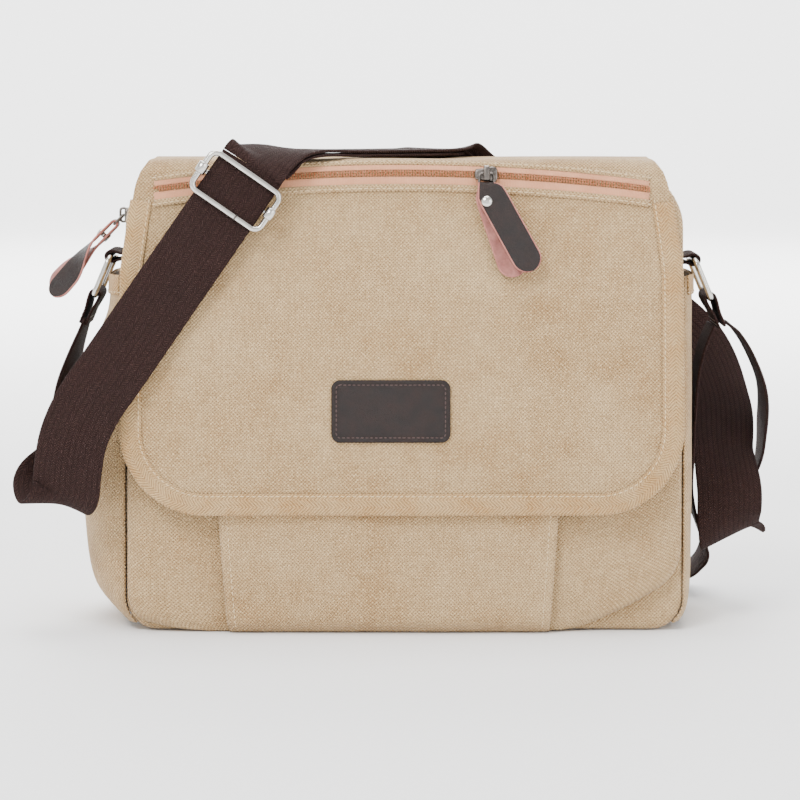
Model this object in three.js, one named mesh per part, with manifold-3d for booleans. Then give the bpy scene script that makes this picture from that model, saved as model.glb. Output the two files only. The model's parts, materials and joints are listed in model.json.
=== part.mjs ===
// Canvas messenger bag with a front flap, two zips, side pockets and an adjustable shoulder strap.
// Millimetres, +Z up. The front faces -Y, and the origin is the middle of the base, on the ground.
import * as THREE from 'three';
import { mergeVertices } from 'three/addons/utils/BufferGeometryUtils.js';
import Module from 'manifold-3d';

const wasm = await Module();
wasm.setup();

// ---- Driving dimensions ----
const BODY_WIDTH = 316;
const BODY_HEIGHT = 259;
const BASE_DEPTH = 110;
const TOP_DEPTH = 64;
const CORNER_RADIUS = 32;
const CANVAS = 2;
const LINING = 0.9;
const TAPE = 0.9;
const GAP = 0.3;
const FLOOR_PANEL = 2.4;
const BOARD = 2;
const ZIP_END = 214;

const POCKET_PROUD = 12;
const POCKET_RECESS = 5;
const POCKET_HALF = 156;
const POCKET_TOP = 188;
const SIDE_POCKET_TOP = 200;
const BINDING_WIDTH = 12.5;

const FLAP_CENTRE_X = -1.5;
const FLAP_HALF_WIDTH = 158;
const FLAP_BOTTOM = 68;
const FLAP_CORNER = 48;
const FLAP_TOP = 266;
const FLAP_BACK_Y = 31.5;
const FLAP_ROLL = 10;
const FLAP_BEND = { y: -58, z: 190 };
const FLAP_FOOT = { y: -69, z: FLAP_BOTTOM };
const FLAP_LEAN = 14.8 * Math.PI / 180;

const FLAP_ZIP_Z = 258;
const FLAP_ZIP_ARC = 1100;
const FLAP_ZIP_HALF = 140;
const COIL_HALF = 1.6;

const SNAP_RADIUS = 8;

const PATCH = { x: -7.6, z: 126.5, width: 66.5, height: 35, corner: 5 };

const WEB_WIDTH = 38;
const WEB_THICK = 1.5;
const WIRE = 3.4;
const RING = { width: 47, drop: 24, corner: 6, lean: 23 * Math.PI / 180 };
const TAB_WIDTH = 34;

const PULL = { width: 16.7, length: 55, leather: 1.4, inner: 1.1 };
const FLAP_PULL_LEANS = { front: 28, rear: 18, twist: 0 };
const MAIN_PULL_LEANS = { front: 8, rear: -2, twist: 48 };
const ADJUSTER = { width: 49, height: 28, corner: 5 };

// Shoulder strap line across the flap: the adjuster's centre and the direction down the strap.
const ADJUSTER_CENTRE = new THREE.Vector3(-94, -55.5, 248.6);
const STRAP_DOWN = new THREE.Vector3(-70.5, -17, -102).normalize();

const bag = new THREE.Group();

// ---- Solids ----
function manifoldOf(geometry) {
  const bare = geometry.clone();
  bare.deleteAttribute('normal');
  bare.deleteAttribute('uv');
  const merged = mergeVertices(bare, 1e-4);
  return new wasm.Manifold(new wasm.Mesh({
    numProp: 3,
    vertProperties: new Float32Array(merged.attributes.position.array),
    triVerts: new Uint32Array(merged.index.array),
  }));
}

function geometryOf(solid) {
  const mesh = solid.getMesh();
  const geometry = new THREE.BufferGeometry();
  geometry.setAttribute('position', new THREE.BufferAttribute(new Float32Array(mesh.vertProperties), 3));
  geometry.setIndex(new THREE.BufferAttribute(new Uint32Array(mesh.triVerts), 1));
  geometry.computeVertexNormals();
  return geometry;
}

function add(name, solid, [color, roughness, metalness], parent = bag) {
  const material = new THREE.MeshStandardMaterial({ color, roughness, metalness });
  const mesh = new THREE.Mesh(geometryOf(solid), material);
  mesh.name = name;
  parent.add(mesh);
  return mesh;
}

const CANVAS_FINISH = [0xb8a689, 0.9, 0];
const LINING_FINISH = [0x9a8b74, 0.85, 0];
const BOARD_FINISH = [0x8c7a5c, 0.8, 0];
const TAPE_FINISH = [0xcfb68f, 0.85, 0];
const ZIP_TAPE_FINISH = [0xd9a58c, 0.8, 0];
const COIL_FINISH = [0xc98a5c, 0.45, 0];
const WEB_FINISH = [0x49352f, 0.9, 0];
const LEATHER_FINISH = [0x3f3330, 0.45, 0];
const STEEL_FINISH = [0xc9c7c4, 0.2, 1];
const DARK_METAL_FINISH = [0x55504c, 0.35, 1];

// ---- Outlines and prisms ----
function polygon(points) {
  return new THREE.Shape(points.map(([x, y]) => new THREE.Vector2(x, y)));
}

function roundedRect(x0, x1, y0, y1, radius) {
  const shape = new THREE.Shape();
  shape.moveTo(x0 + radius, y0);
  shape.lineTo(x1 - radius, y0);
  shape.absarc(x1 - radius, y0 + radius, radius, -Math.PI / 2, 0);
  shape.lineTo(x1, y1 - radius);
  shape.absarc(x1 - radius, y1 - radius, radius, 0, Math.PI / 2);
  shape.lineTo(x0 + radius, y1);
  shape.absarc(x0 + radius, y1 - radius, radius, Math.PI / 2, Math.PI);
  shape.lineTo(x0, y0 + radius);
  shape.absarc(x0 + radius, y0 + radius, radius, Math.PI, 1.5 * Math.PI);
  return shape;
}

function prismZ(shape, z0, z1, bend) {
  const geometry = new THREE.ExtrudeGeometry(shape, {
    depth: z1 - z0, bevelEnabled: false, curveSegments: 6,
  });
  geometry.translate(0, 0, z0);
  if (bend) bend(geometry);
  return manifoldOf(geometry);
}

// The shape is drawn in X and Z.
function prismY(shape, y0, y1) {
  const geometry = new THREE.ExtrudeGeometry(shape, {
    depth: y1 - y0, bevelEnabled: false, curveSegments: 8,
  });
  geometry.rotateX(Math.PI / 2);
  geometry.translate(0, y1, 0);
  return manifoldOf(geometry);
}

// The shape is drawn in Y and Z.
function prismX(shape, x0, x1) {
  const geometry = new THREE.ExtrudeGeometry(shape, {
    depth: x1 - x0, bevelEnabled: false, curveSegments: 6,
  });
  geometry.rotateX(Math.PI / 2);
  geometry.rotateZ(Math.PI / 2);
  geometry.translate(x0, 0, 0);
  return manifoldOf(geometry);
}

function block(x0, x1, y0, y1, z0, z1) {
  return prismZ(polygon([[x0, y0], [x1, y0], [x1, y1], [x0, y1]]), z0, z1);
}

// A rod between two points.
function rod(from, to, radius, sides = 10) {
  const axis = new THREE.Vector3().subVectors(to, from);
  const geometry = new THREE.CylinderGeometry(radius, radius, axis.length(), sides);
  const turn = new THREE.Quaternion().setFromUnitVectors(new THREE.Vector3(0, 1, 0), axis.normalize());
  geometry.applyQuaternion(turn);
  geometry.translate((from.x + to.x) / 2, (from.y + to.y) / 2, (from.z + to.z) / 2);
  return manifoldOf(geometry);
}

// A frame of round wire lying in X and Z, its size given over the outside of the wire.
function wireFrame(x0, x1, z0, z1, corner, wire) {
  const flat = 0.2;
  const round = wire / 2 - flat;
  const out = wire / 2 - flat;
  const into = wire / 2 + flat;
  const outer = roundedRect(x0 + out, x1 - out, z0 + out, z1 - out, corner + flat);
  outer.holes.push(roundedRect(x0 + into, x1 - into, z0 + into, z1 - into, corner - flat));
  const geometry = new THREE.ExtrudeGeometry(outer, {
    depth: 2 * flat, bevelThickness: round, bevelSize: round, bevelSegments: 3, curveSegments: 5,
  });
  geometry.translate(0, 0, -flat);
  geometry.rotateX(Math.PI / 2);
  return manifoldOf(geometry);
}

// ---- Body ----
const SLOPE = (BASE_DEPTH - TOP_DEPTH) / 2 / BODY_HEIGHT;
const PANEL_FOOT = FLOOR_PANEL + GAP;

function halfDepth(z) {
  return BASE_DEPTH / 2 - SLOPE * z;
}

function bodyOutline(inset) {
  const half = BODY_WIDTH / 2 - inset;
  const top = BODY_HEIGHT - inset;
  const radius = CORNER_RADIUS - inset;
  const shape = new THREE.Shape();
  shape.moveTo(-half, PANEL_FOOT);
  shape.lineTo(half, PANEL_FOOT);
  shape.lineTo(half, top - radius);
  shape.absarc(half - radius, top - radius, radius, 0, Math.PI / 2);
  shape.lineTo(radius - half, top);
  shape.absarc(radius - half, top - radius, radius, Math.PI / 2, Math.PI);
  return shape;
}

// The space between the front and back faces, each set in by an amount.
function wedge(inset, z0, z1, x0 = -200, x1 = 200) {
  const low = halfDepth(z0) - inset;
  const high = halfDepth(z1) - inset;
  return prismX(polygon([[-low, z0], [low, z0], [high, z1], [-high, z1]]), x0, x1);
}

// A sloping plate on the front (side -1) or back (side 1) of the body.
function facePlate(side) {
  const z0 = PANEL_FOOT;
  const z1 = BODY_HEIGHT;
  const low = halfDepth(z0);
  const high = halfDepth(z1);
  return prismX(polygon([
    [side * low, z0],
    [side * (low - CANVAS), z0],
    [side * (high - CANVAS), z1],
    [side * high, z1],
  ]), -200, 200);
}

const bodyPrism = prismY(bodyOutline(0), -70, 70);
add('front_panel', facePlate(-1).intersect(bodyPrism), CANVAS_FINISH);
add('back_panel', facePlate(1).intersect(bodyPrism), CANVAS_FINISH);
add('base_panel', prismZ(roundedRect(-157, 157, -54, 54, 12), 0, FLOOR_PANEL), CANVAS_FINISH);
add('base_board', prismZ(roundedRect(-148, 148, -48, 48, 8), PANEL_FOOT, PANEL_FOOT + BOARD), BOARD_FINISH);

const bandShell = bodyPrism.subtract(prismY(bodyOutline(CANVAS), -80, 80))
  .intersect(wedge(CANVAS + GAP, PANEL_FOOT, BODY_HEIGHT));
add('gusset_left', bandShell.intersect(block(-200, -100, -80, 80, 5.2, ZIP_END)), CANVAS_FINISH);
add('gusset_right', bandShell.intersect(block(100, 200, -80, 80, 5.2, ZIP_END)), CANVAS_FINISH);

const ZIP_TAPE_IN = 2.1;
const ZIP_TAPE_OUT = 8.7;
const aboveZipEnds = ZIP_END + GAP;
for (const [side, word] of [[-1, 'front'], [1, 'back']]) {
  const inner = side * (ZIP_TAPE_OUT + GAP);
  const outer = side * 80;
  const bandSpace = block(-200, 200, Math.min(inner, outer), Math.max(inner, outer), aboveZipEnds, 300);
  add(`top_band_${word}`, bandShell.intersect(bandSpace), CANVAS_FINISH);
  const tapeSpace = block(
    -200, 200,
    Math.min(side * ZIP_TAPE_IN, side * ZIP_TAPE_OUT), Math.max(side * ZIP_TAPE_IN, side * ZIP_TAPE_OUT),
    aboveZipEnds, 300,
  );
  const tapeShell = prismY(bodyOutline(0.6), -70, 70).subtract(prismY(bodyOutline(1.5), -80, 80));
  add(`main_zip_tape_${word}`, tapeShell.intersect(tapeSpace), ZIP_TAPE_FINISH);
}
const coilShell = prismY(bodyOutline(-0.5), -70, 70).subtract(prismY(bodyOutline(1.5), -80, 80));
add('main_zip_coil', coilShell.intersect(block(-200, 200, -1.7, 1.7, aboveZipEnds, 300)), COIL_FINISH);

const LINING_FOOT = PANEL_FOOT + BOARD + GAP;
const LINING_TOP = 206;
const liningOuter = wedge(CANVAS + 2 * GAP, LINING_FOOT, LINING_TOP, -155, 155);
const liningInner = wedge(CANVAS + 2 * GAP + LINING, LINING_FOOT + LINING, LINING_TOP + 5, -154, 154);
add('body_lining', liningOuter.subtract(liningInner), LINING_FINISH);

// ---- Front pocket: a middle section standing proud between two recessed pleats ----
function leanForward(geometry) {
  const place = geometry.attributes.position;
  for (let i = 0; i < place.count; i += 1) {
    place.setY(i, place.getY(i) - halfDepth(place.getZ(i)));
  }
}

function pocketFace(depthOut) {
  return [
    [-POCKET_HALF, -POCKET_RECESS - depthOut],
    [-108, -POCKET_RECESS - depthOut],
    [-102, -POCKET_PROUD - depthOut],
    [84, -POCKET_PROUD - depthOut],
    [90, -POCKET_RECESS - depthOut],
    [POCKET_HALF, -POCKET_RECESS - depthOut],
  ];
}

function pocketWall() {
  const outer = pocketFace(0);
  const inner = pocketFace(-CANVAS).reverse();
  inner[0][0] -= CANVAS;
  inner[inner.length - 1][0] += CANVAS;
  return polygon([
    [-POCKET_HALF, -GAP], ...outer, [POCKET_HALF, -GAP],
    [POCKET_HALF - CANVAS, -GAP], ...inner, [CANVAS - POCKET_HALF, -GAP],
  ]);
}

const pocketFloor = polygon([[-POCKET_HALF, -GAP], ...pocketFace(0), [POCKET_HALF, -GAP]]);
add('front_pocket', prismZ(pocketWall(), 0.6, POCKET_TOP, leanForward)
  .add(prismZ(pocketFloor, 0.6, 0.6 + CANVAS, leanForward)), CANVAS_FINISH);
const bindingStrip = polygon([
  ...pocketFace(GAP + TAPE), ...pocketFace(GAP).reverse(),
]);
const pocketTape = prismZ(bindingStrip, POCKET_TOP - BINDING_WIDTH, POCKET_TOP, leanForward);
add('front_pocket_binding', pocketTape, TAPE_FINISH);

// ---- Side pockets: the left one bellies out, the right one lies flat ----
const POCKET_BASE_X = BODY_WIDTH / 2 + GAP;
const LEFT_BELLY = [
  [168.5, SIDE_POCKET_TOP], [169.5, 178], [186, 143], [186, 71], [180, 24], [166, 9],
];
const RIGHT_BELLY = [
  [164.5, SIDE_POCKET_TOP], [165.2, 150], [165.2, 61], [164.5, 24], [162, 9],
];

function sidePocket(side, belly) {
  const wall = 1.8;
  const outline = belly.map(([x, z]) => [side * x, z]);
  const root = side * POCKET_BASE_X;
  const foot = belly[belly.length - 1][1];
  const outer = prismY(polygon([...outline, [root, foot], [root, SIDE_POCKET_TOP]]), -70, 70)
    .intersect(wedge(0.5, 1, BODY_HEIGHT));
  const hollow = belly.map(([x, z], i) => {
    const lift = i === belly.length - 1 ? wall : 0;
    return [side * (x - wall), z + lift];
  });
  hollow[0][1] += 5;
  const inner = prismY(polygon([
    ...hollow, [root - side * 5, foot + wall], [root - side * 5, SIDE_POCKET_TOP + 5],
  ]), -70, 70).intersect(wedge(0.5 + wall, 1, BODY_HEIGHT));
  return outer.subtract(inner);
}

// A tape round the outside of a side pocket's mouth.
function mouthBinding(side, mouthX) {
  const bandLow = SIDE_POCKET_TOP - 10.5;
  const near = side * (mouthX + 2 * GAP);
  const far = side * (mouthX + 2 * GAP + TAPE);
  return block(Math.min(near, far), Math.max(near, far), -34, 34, bandLow, SIDE_POCKET_TOP);
}

add('side_pocket_left', sidePocket(-1, LEFT_BELLY), CANVAS_FINISH);
add('side_pocket_right', sidePocket(1, RIGHT_BELLY), CANVAS_FINISH);
add('side_pocket_binding_left', mouthBinding(-1, 168.6), TAPE_FINISH);
add('side_pocket_binding_right', mouthBinding(1, 164.6), TAPE_FINISH);

// ---- Flap: over the top from the back seam, then down the front ----
const flapPath = [];
(function traceFlap() {
  const endAngle = Math.PI / 2 - FLAP_LEAN;
  const planeTop = FLAP_TOP - FLAP_ROLL + FLAP_ROLL * Math.sin(FLAP_LEAN);
  const planeTopY = FLAP_BEND.y + (planeTop - FLAP_BEND.z) * Math.tan(FLAP_LEAN);
  const rollY = planeTopY + FLAP_ROLL * Math.cos(FLAP_LEAN);
  const rollZ = FLAP_TOP - FLAP_ROLL;
  flapPath.push({ y: FLAP_BACK_Y, z: FLAP_TOP, angle: 0 });
  const steps = 5;
  for (let i = 0; i <= steps; i += 1) {
    const angle = endAngle * i / steps;
    const y = rollY - FLAP_ROLL * Math.sin(angle);
    flapPath.push({ y, z: rollZ + FLAP_ROLL * Math.cos(angle), angle });
  }
  const lowLean = Math.atan2(FLAP_BEND.y - FLAP_FOOT.y, FLAP_BEND.z - FLAP_FOOT.z);
  flapPath.push({ ...FLAP_BEND, angle: Math.PI / 2 - (FLAP_LEAN + lowLean) / 2 });
  flapPath.push({ ...FLAP_FOOT, angle: Math.PI / 2 - lowLean });
}());

// A layer of the flap between two distances out from its outer face.
function flapLayer(inner, outer) {
  const offset = (distance) => flapPath.map(({ y, z, angle }) => [
    y - distance * Math.sin(angle),
    z + distance * Math.cos(angle),
  ]);
  return prismX(polygon([...offset(outer), ...offset(inner).reverse()]), -200, 200);
}

function flapOutline(inset) {
  const half = FLAP_HALF_WIDTH - inset;
  const radius = FLAP_CORNER - inset;
  const low = FLAP_BOTTOM + inset;
  const cx = FLAP_CENTRE_X;
  const shoulder = half - 5;
  const shape = new THREE.Shape();
  shape.moveTo(cx - half + radius, low);
  shape.lineTo(cx + half - radius, low);
  shape.absarc(cx + half - radius, low + radius, radius, -Math.PI / 2, 0);
  shape.lineTo(cx + half, 205);
  shape.lineTo(cx + shoulder, 243);
  shape.quadraticCurveTo(cx + shoulder - 2, 260, cx + 139, 272);
  shape.lineTo(cx - 139, 272);
  shape.quadraticCurveTo(cx - shoulder + 2, 260, cx - shoulder, 243);
  shape.lineTo(cx - half, 205);
  shape.lineTo(cx - half, low + radius);
  shape.absarc(cx - half + radius, low + radius, radius, Math.PI, 1.5 * Math.PI);
  return shape;
}

const flapInside = prismY(flapOutline(1.5), -120, 80);
add('flap_panel', flapLayer(-CANVAS, 0).intersect(flapInside), CANVAS_FINISH);
add('flap_lining', flapLayer(-CANVAS - GAP - LINING, -CANVAS - GAP).intersect(flapInside), LINING_FINISH);

const BINDING_TOP = 244;
const bindingIn = -CANVAS - LINING - 2 * GAP;
const bindingSpace = prismY(flapOutline(0), -120, 80).intersect(block(-200, 200, -120, 0, 0, BINDING_TOP));
const bindingFaces = flapLayer(GAP, GAP + TAPE).add(flapLayer(bindingIn - TAPE, bindingIn))
  .intersect(bindingSpace.subtract(prismY(flapOutline(BINDING_WIDTH), -130, 90)));
const bindingEdge = flapLayer(bindingIn - TAPE, GAP + TAPE)
  .intersect(bindingSpace.subtract(prismY(flapOutline(1.2), -130, 90)));
add('flap_binding', bindingFaces.add(bindingEdge), TAPE_FINISH);

const patchShape = roundedRect(
  PATCH.x - PATCH.width / 2, PATCH.x + PATCH.width / 2,
  PATCH.z - PATCH.height / 2, PATCH.z + PATCH.height / 2, PATCH.corner,
);
add('flap_patch', flapLayer(GAP, GAP + 1.6).intersect(prismY(patchShape, -120, 0)), LEATHER_FINISH);

// The flap zip follows a very shallow arch near the top of the front.
function zipArch(low, high) {
  const centreZ = FLAP_ZIP_Z - FLAP_ZIP_ARC;
  const half = Math.asin(FLAP_ZIP_HALF / FLAP_ZIP_ARC);
  const steps = 20;
  const outer = [];
  const inner = [];
  const arcPoint = (radius, angle) => (
    [FLAP_CENTRE_X + radius * Math.sin(angle), centreZ + radius * Math.cos(angle)]
  );
  for (let i = 0; i <= steps; i += 1) {
    const angle = -half + 2 * half * i / steps;
    outer.push(arcPoint(FLAP_ZIP_ARC + high, angle));
    inner.push(arcPoint(FLAP_ZIP_ARC + low, angle));
  }
  return prismY(polygon([...outer, ...inner.reverse()]), -120, -20);
}

const zipTapeLayer = flapLayer(GAP, GAP + 0.7);
const zipTapeIn = COIL_HALF + GAP;
add('flap_zip_tape_upper', zipTapeLayer.intersect(zipArch(zipTapeIn, 5)), ZIP_TAPE_FINISH);
add('flap_zip_tape_lower', zipTapeLayer.intersect(zipArch(-6, -zipTapeIn)), ZIP_TAPE_FINISH);
add('flap_zip_coil', flapLayer(GAP, GAP + 1.8).intersect(zipArch(-COIL_HALF, COIL_HALF)), COIL_FINISH);

// ---- Magnetic snaps, one pair each side, hidden between the flap and the front pocket ----
for (const [x, word] of [[-62, 'left'], [52, 'right']]) {
  const z = 92;
  const pocketY = -halfDepth(z - SNAP_RADIUS) - POCKET_PROUD - GAP;
  const flapY = FLAP_FOOT.y + (z - FLAP_FOOT.z) * (FLAP_BEND.y - FLAP_FOOT.y) / (FLAP_BEND.z - FLAP_FOOT.z);
  const flapInner = flapY + CANVAS + LINING + 2 * GAP + SNAP_RADIUS * 0.09;
  const middle = (pocketY + flapInner) / 2;
  const disc = (y0, y1) => rod(new THREE.Vector3(x, y0, z), new THREE.Vector3(x, y1, z), SNAP_RADIUS, 20);
  add(`snap_socket_${word}`, disc(middle + 0.2, pocketY), DARK_METAL_FINISH);
  add(`snap_stud_${word}`, disc(flapInner, middle - 0.2), DARK_METAL_FINISH);
}

// ---- Zip sliders and their leather pulls. Local -Y is away from the fabric, and -Z hangs down. ----
function sliderBody(top) {
  const arch = 3.5;
  const rise = top + 4.1;
  const plate = prismY(roundedRect(-6, 6, -4.5, 4.5, 2), -top - 1.2, -top);
  const barEnd = (z) => new THREE.Vector3(0, -rise, z);
  const bar = rod(barEnd(-arch - 0.7), barEnd(arch + 0.7), 0.8, 8);
  const post = (z) => rod(new THREE.Vector3(0, -top - 0.6, z), new THREE.Vector3(0, -rise, z), 0.7, 8);
  return plate.add(bar).add(post(-arch)).add(post(arch));
}

const LINK_DROP = 7.4;

// One leg of a pull, with a round end. Past the rivet it twists about the long axis of the pull.
function leg(lean, twist, y0, y1) {
  const half = PULL.width / 2;
  const shoulder = 4;
  const twistStart = 13;
  const twistRun = 28;
  const geometry = new THREE.BoxGeometry(2, y1 - y0, 1, 2, 1, 16);
  geometry.translate(0, (y0 + y1) / 2, -0.5);
  const place = geometry.attributes.position;
  const point = new THREE.Vector3();
  for (let i = 0; i < place.count; i += 1) {
    point.fromBufferAttribute(place, i);
    const depth = 0.2 + (PULL.length - 0.3) * Math.sin(-point.z * Math.PI / 2);
    const pastTip = Math.max(depth - PULL.length + half, 0);
    const narrowing = 3 * Math.max(1 - depth / shoulder, 0);
    const width = Math.sqrt(half ** 2 - pastTip ** 2) - narrowing;
    point.set(point.x * width, point.y, -depth);
    point.applyAxisAngle(new THREE.Vector3(0, 1, 0), -lean * Math.PI / 180);
    const share = THREE.MathUtils.smoothstep(-point.z, twistStart, twistStart + twistRun);
    point.applyAxisAngle(new THREE.Vector3(0, 0, 1), share * twist * Math.PI / 180);
    place.setXYZ(i, point.x, point.y, point.z - LINK_DROP);
  }
  return manifoldOf(geometry);
}

function leatherPull(prefix, parent, leans) {
  const wire = 1.6;
  const link = wireFrame(-5, 5, -LINK_DROP - wire / 2, wire / 2, 1.2, wire);
  add(`${prefix}_pull_link`, link, DARK_METAL_FINISH, parent);
  const inner = PULL.inner;
  const outer = inner + PULL.leather;
  const end = (x) => new THREE.Vector3(x, 0, -LINK_DROP);
  const fold = rod(end(-3), end(3), outer, 14).subtract(rod(end(-4), end(4), inner, 14));
  const rivetAt = new THREE.Vector3(0, 0, -LINK_DROP - 9);
  const hole = rod(rivetAt.clone().setY(-10), rivetAt.clone().setY(10), 1.9, 12);
  const frontLeg = leg(leans.front, leans.twist, -outer, -inner);
  const rearLeg = leg(leans.rear, leans.twist, inner, outer);
  const leather = fold.add(frontLeg).add(rearLeg).subtract(hole);
  add(`${prefix}_pull_leather`, leather, LEATHER_FINISH, parent);
  const rivetProfile = [
    [0, 3.9], [1.8, 3.7], [3.2, outer + 0.3], [1.5, outer + 0.3], [1.5, -outer - 0.3], [2.8, -outer - 0.3],
    [2.8, -3.6], [0, -3.6],
  ].map(([r, y]) => new THREE.Vector2(r, -y));
  const rivetGeometry = new THREE.LatheGeometry(rivetProfile, 16);
  rivetGeometry.translate(0, 0, rivetAt.z);
  add(`${prefix}_pull_rivet`, manifoldOf(rivetGeometry), DARK_METAL_FINISH, parent);
}

const COIL_TOP = GAP + 1.8;
const SLIDER_TOP = COIL_TOP + 0.4;
const LINK_OUT = SLIDER_TOP + 2.25;
const FLAP_PULL_X = 46;
const flapZipY = FLAP_BEND.y + (FLAP_ZIP_Z - FLAP_BEND.z) * Math.tan(FLAP_LEAN);
const flapSliderZ = FLAP_ZIP_Z - (FLAP_PULL_X - FLAP_CENTRE_X) ** 2 / 2 / FLAP_ZIP_ARC;
const flapSlider = new THREE.Group();
const flapSliderY = flapZipY - (FLAP_ZIP_Z - flapSliderZ) * Math.tan(FLAP_LEAN);
flapSlider.position.set(FLAP_PULL_X, flapSliderY, flapSliderZ);
flapSlider.rotation.x = -FLAP_LEAN;
bag.add(flapSlider);
add('flap_slider', sliderBody(SLIDER_TOP), DARK_METAL_FINISH, flapSlider);
const flapPull = new THREE.Group();
flapPull.position.set(0, -LINK_OUT, 0);
flapSlider.add(flapPull);
leatherPull('flap', flapPull, FLAP_PULL_LEANS);

const MAIN_SLIDER_Z = 233;
const MAIN_PULL_LEAN = 45 * Math.PI / 180;
const mainSlider = new THREE.Group();
mainSlider.position.set(-BODY_WIDTH / 2 + 0.9, 0, MAIN_SLIDER_Z);
mainSlider.rotation.z = -Math.PI / 2;
bag.add(mainSlider);
add('main_slider', sliderBody(SLIDER_TOP), DARK_METAL_FINISH, mainSlider);
const mainPull = new THREE.Group();
mainPull.position.set(0, -LINK_OUT, 0);
mainPull.rotation.x = -MAIN_PULL_LEAN;
mainSlider.add(mainPull);
leatherPull('main', mainPull, MAIN_PULL_LEANS);

// ---- Strap rings and the webbing tabs that hold them ----
// A webbing fold round a bar at the origin along X, its tails hanging down -Z.
function webFold(radius, width, tail) {
  const shape = new THREE.Shape();
  const outer = radius + WEB_THICK;
  shape.moveTo(-outer, -tail);
  shape.lineTo(-outer, 0);
  shape.absarc(0, 0, outer, Math.PI, 0, true);
  shape.lineTo(outer, -tail);
  shape.lineTo(radius, -tail);
  shape.lineTo(radius, 0);
  shape.absarc(0, 0, radius, 0, Math.PI, false);
  shape.lineTo(-radius, -tail);
  return prismX(shape, -width / 2, width / 2);
}

const RING_HINGE = { left: { x: -168, z: 210 }, right: { x: 166, z: 208 } };
for (const [side, word] of [[-1, 'left'], [1, 'right']]) {
  const { x, z } = RING_HINGE[word];
  const tab = new THREE.Group();
  tab.position.set(x, 0, z);
  tab.rotation.y = side * Math.PI / 2;
  bag.add(tab);
  const reach = Math.abs(x) - POCKET_BASE_X;
  const tabFold = webFold(WIRE / 2 + 0.5, TAB_WIDTH, reach);
  const turned = new THREE.Group();
  turned.rotation.z = Math.PI / 2;
  tab.add(turned);
  add(`ring_tab_${word}`, tabFold, WEB_FINISH, turned);

  const ring = new THREE.Group();
  ring.position.set(x, 0, z);
  ring.rotation.y = -side * RING.lean;
  bag.add(ring);
  const flat = new THREE.Group();
  flat.rotation.z = Math.PI / 2;
  ring.add(flat);
  const half = RING.width / 2;
  const frame = wireFrame(-half, half, -RING.drop - WIRE / 2, WIRE / 2, RING.corner - WIRE / 2, WIRE);
  add(`ring_${word}`, frame, STEEL_FINISH, flat);
  const hold = new THREE.Group();
  hold.position.set(0, 0, -RING.drop);
  flat.add(hold);
  add(`strap_fold_${word}`, webFold(WIRE / 2 + 0.4, TAB_WIDTH, 12), WEB_FINISH, hold);
}

// ---- Adjuster: a wire frame with a floating centre bar behind the strap ----
const strapAcross = new THREE.Vector3(0.822, 0, -0.569);
strapAcross.addScaledVector(STRAP_DOWN, -strapAcross.dot(STRAP_DOWN)).normalize();
const strapInward = new THREE.Vector3().crossVectors(strapAcross, STRAP_DOWN).normalize();
const adjuster = new THREE.Group();
adjuster.position.copy(ADJUSTER_CENTRE);
adjuster.quaternion.setFromRotationMatrix(new THREE.Matrix4().makeBasis(
  strapAcross, strapInward, STRAP_DOWN.clone().negate(),
));
bag.add(adjuster);
const FRAME_OUT = WEB_THICK / 2 + GAP + WIRE / 2 + 0.2;
const BAR_RADIUS = 1.2;
const BAR_FOLD = BAR_RADIUS + 0.3;
const BAR_IN = WEB_THICK / 2 + GAP + BAR_FOLD + WEB_THICK;
const sideX = ADJUSTER.width / 2 - WIRE / 2;
const frameGroup = new THREE.Group();
frameGroup.position.set(0, -FRAME_OUT, 0);
adjuster.add(frameGroup);
add('adjuster_frame', wireFrame(
  -ADJUSTER.width / 2, ADJUSTER.width / 2, -ADJUSTER.height / 2, ADJUSTER.height / 2,
  ADJUSTER.corner - WIRE / 2, WIRE,
), STEEL_FINISH, frameGroup);

function adjusterBar() {
  let bar = rod(new THREE.Vector3(-sideX, BAR_IN, 0), new THREE.Vector3(sideX, BAR_IN, 0), BAR_RADIUS, 12);
  for (const x of [-sideX, sideX]) {
    const onWire = (z) => new THREE.Vector3(x, -FRAME_OUT, z);
    const sleeve = rod(onWire(-3), onWire(3), WIRE / 2 + 1.2, 16);
    const bore = rod(onWire(-4), onWire(4), WIRE / 2 + GAP, 16);
    const arm = block(x - 0.9, x + 0.9, -FRAME_OUT + WIRE / 2 + 0.6, BAR_IN, -1.1, 1.1);
    bar = bar.add(arm).add(sleeve.subtract(bore));
  }
  return bar;
}
add('adjuster_bar', adjusterBar(), STEEL_FINISH, adjuster);
const barFold = new THREE.Group();
barFold.position.set(0, BAR_IN, 0);
barFold.rotation.x = Math.PI;
adjuster.add(barFold);
add('strap_fold_adjuster', webFold(BAR_FOLD, TAB_WIDTH, 9), WEB_FINISH, barFold);

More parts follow.
